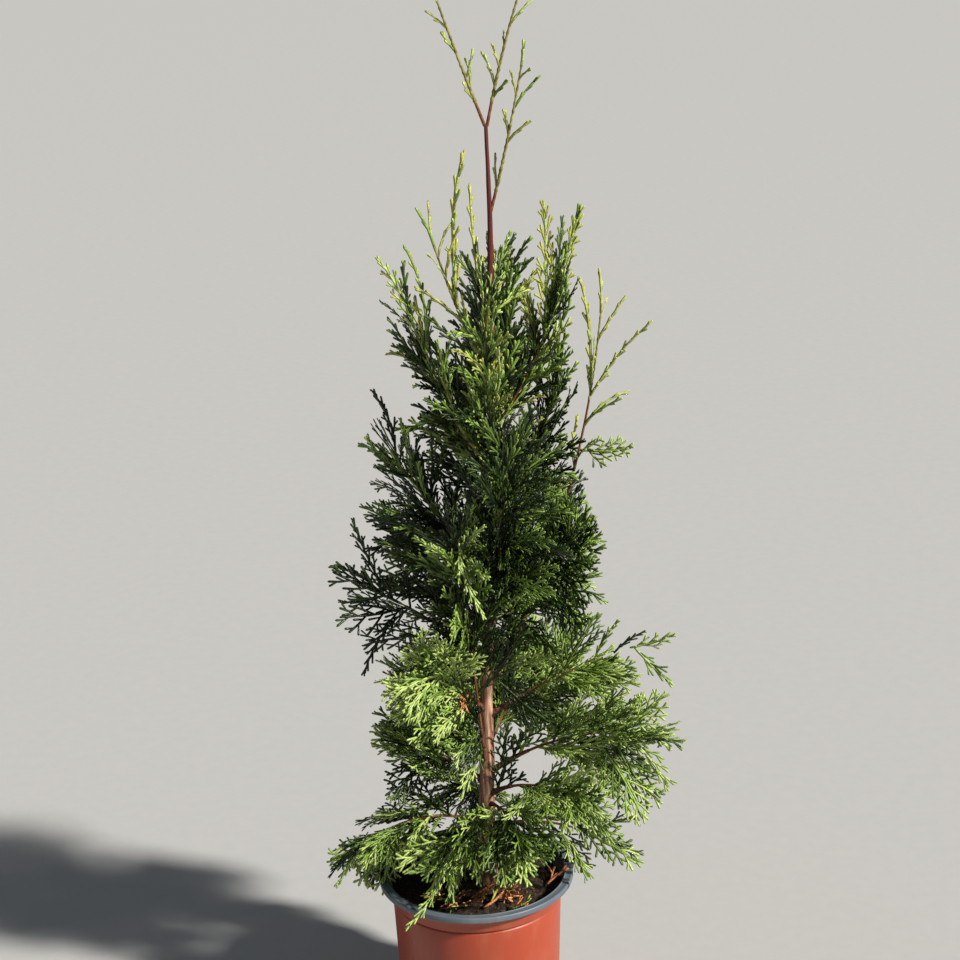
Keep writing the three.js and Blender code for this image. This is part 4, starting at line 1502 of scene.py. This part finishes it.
def brown_stem(name):
    turning, _ = stem_shares(name)
    start = MASSES[name]["bare"] or -FORK_OVERLAP
    rings = max(8, int(LENGTHS[name] / BROWN_RING))

    def radius(share):
        return brown_radius(mix(0, turning, share))

    return limb_tube(name, start, turning, radius, BROWN_SIDES, rings, BROWN_RELIEF)


def green_stem(name):
    turning, last = stem_shares(name)
    length = LENGTHS[name] * (last - turning)

    def radius(share):
        bead = 1 + BEAD_SWELL * abs(math.sin(share * length / BEAD_LENGTH * math.pi)) ** 5
        return mix(brown_radius(turning), SHOOT_TIP, share) * bead

    rings = max(8, int(length / GREEN_RING))
    start = turning - COLOUR_OVERLAP
    return limb_tube(name, start, last, radius, GREEN_SIDES, rings, GREEN_RELIEF)


brown_stems = [brown_stem(name) for name in MASSES]
green_stems = [green_stem(name) for name in MASSES]
brown_piece = finish_piece("stems_brown", join_meshes(brown_stems), [twig_bark])
green_piece = finish_piece("stems_green", join_meshes(green_stems), [shoot_bark])

# %% [markdown]
# ## Floor and light
#
# The pot stands on a plain pale floor. The light comes from the front right and fairly low,
# as it does in the photograph. A distant lamp a few degrees wide gives shadows with a soft
# edge, without the floor turning dark behind the plant as it would under a near one. An even
# fill from all round keeps the colours readable in the shade.

# %% Floor
FLOOR_SIZE = 40
FLOOR_TONES = [(0.3, (0.42, 0.424, 0.43)), (0.7, (0.435, 0.439, 0.445))]
floor_mesh = bmesh.new()
bmesh.ops.create_grid(floor_mesh, x_segments=1, y_segments=1, size=FLOOR_SIZE)
floor_data = bpy.data.meshes.new("floor")
floor_mesh.to_mesh(floor_data)
floor_mesh.free()
floor = bpy.data.objects.new("floor", floor_data)
bpy.context.scene.collection.objects.link(floor)
floor_finish, floor_nodes, floor_links, floor_shader = new_finish("pale_floor", 0.85)
floor_grain = noise_on_object(floor_nodes, floor_links, 60)
floor_colour = ramp(floor_nodes, floor_links, floor_grain, FLOOR_TONES)
floor_links.new(floor_colour, floor_shader.inputs["Base Color"])
floor_data.materials.append(floor_finish)
floor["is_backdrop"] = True

# %% Fill
FILL_COLOUR, FILL_STRENGTH = (0.86, 0.93, 1, 1), 0.165
world = bpy.data.worlds.new("soft_fill")
world.use_nodes = True
fill = world.node_tree.nodes["Background"]
fill.inputs["Color"].default_value = FILL_COLOUR
fill.inputs["Strength"].default_value = FILL_STRENGTH
bpy.context.scene.world = world
bpy.context.scene.view_settings.view_transform = "Standard"

# %% Lamp
LAMP_BEARING = math.radians(-29)
LAMP_HEIGHT = math.radians(36)
LAMP_WIDTH = math.radians(5)
LAMP_COLOUR, LAMP_STRENGTH = (1, 0.95, 0.86), 6.55
lamp_data = bpy.data.lights.new("key", "SUN")
lamp_data.angle = LAMP_WIDTH
lamp_data.energy = LAMP_STRENGTH
lamp_data.color = LAMP_COLOUR
lamp = bpy.data.objects.new("key", lamp_data)
towards = Vector((math.cos(LAMP_BEARING), math.sin(LAMP_BEARING), math.tan(LAMP_HEIGHT)))
lamp.rotation_euler = towards.to_track_quat("Z", "Y").to_euler()
bpy.context.scene.collection.objects.link(lamp)

# %% Sizes and finish
boxes = {"cad": cad_box, "visual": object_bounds()}
boxes = {name: [[float(v) for v in corner] for corner in box] for name, box in boxes.items()}
print("boxes:", boxes)
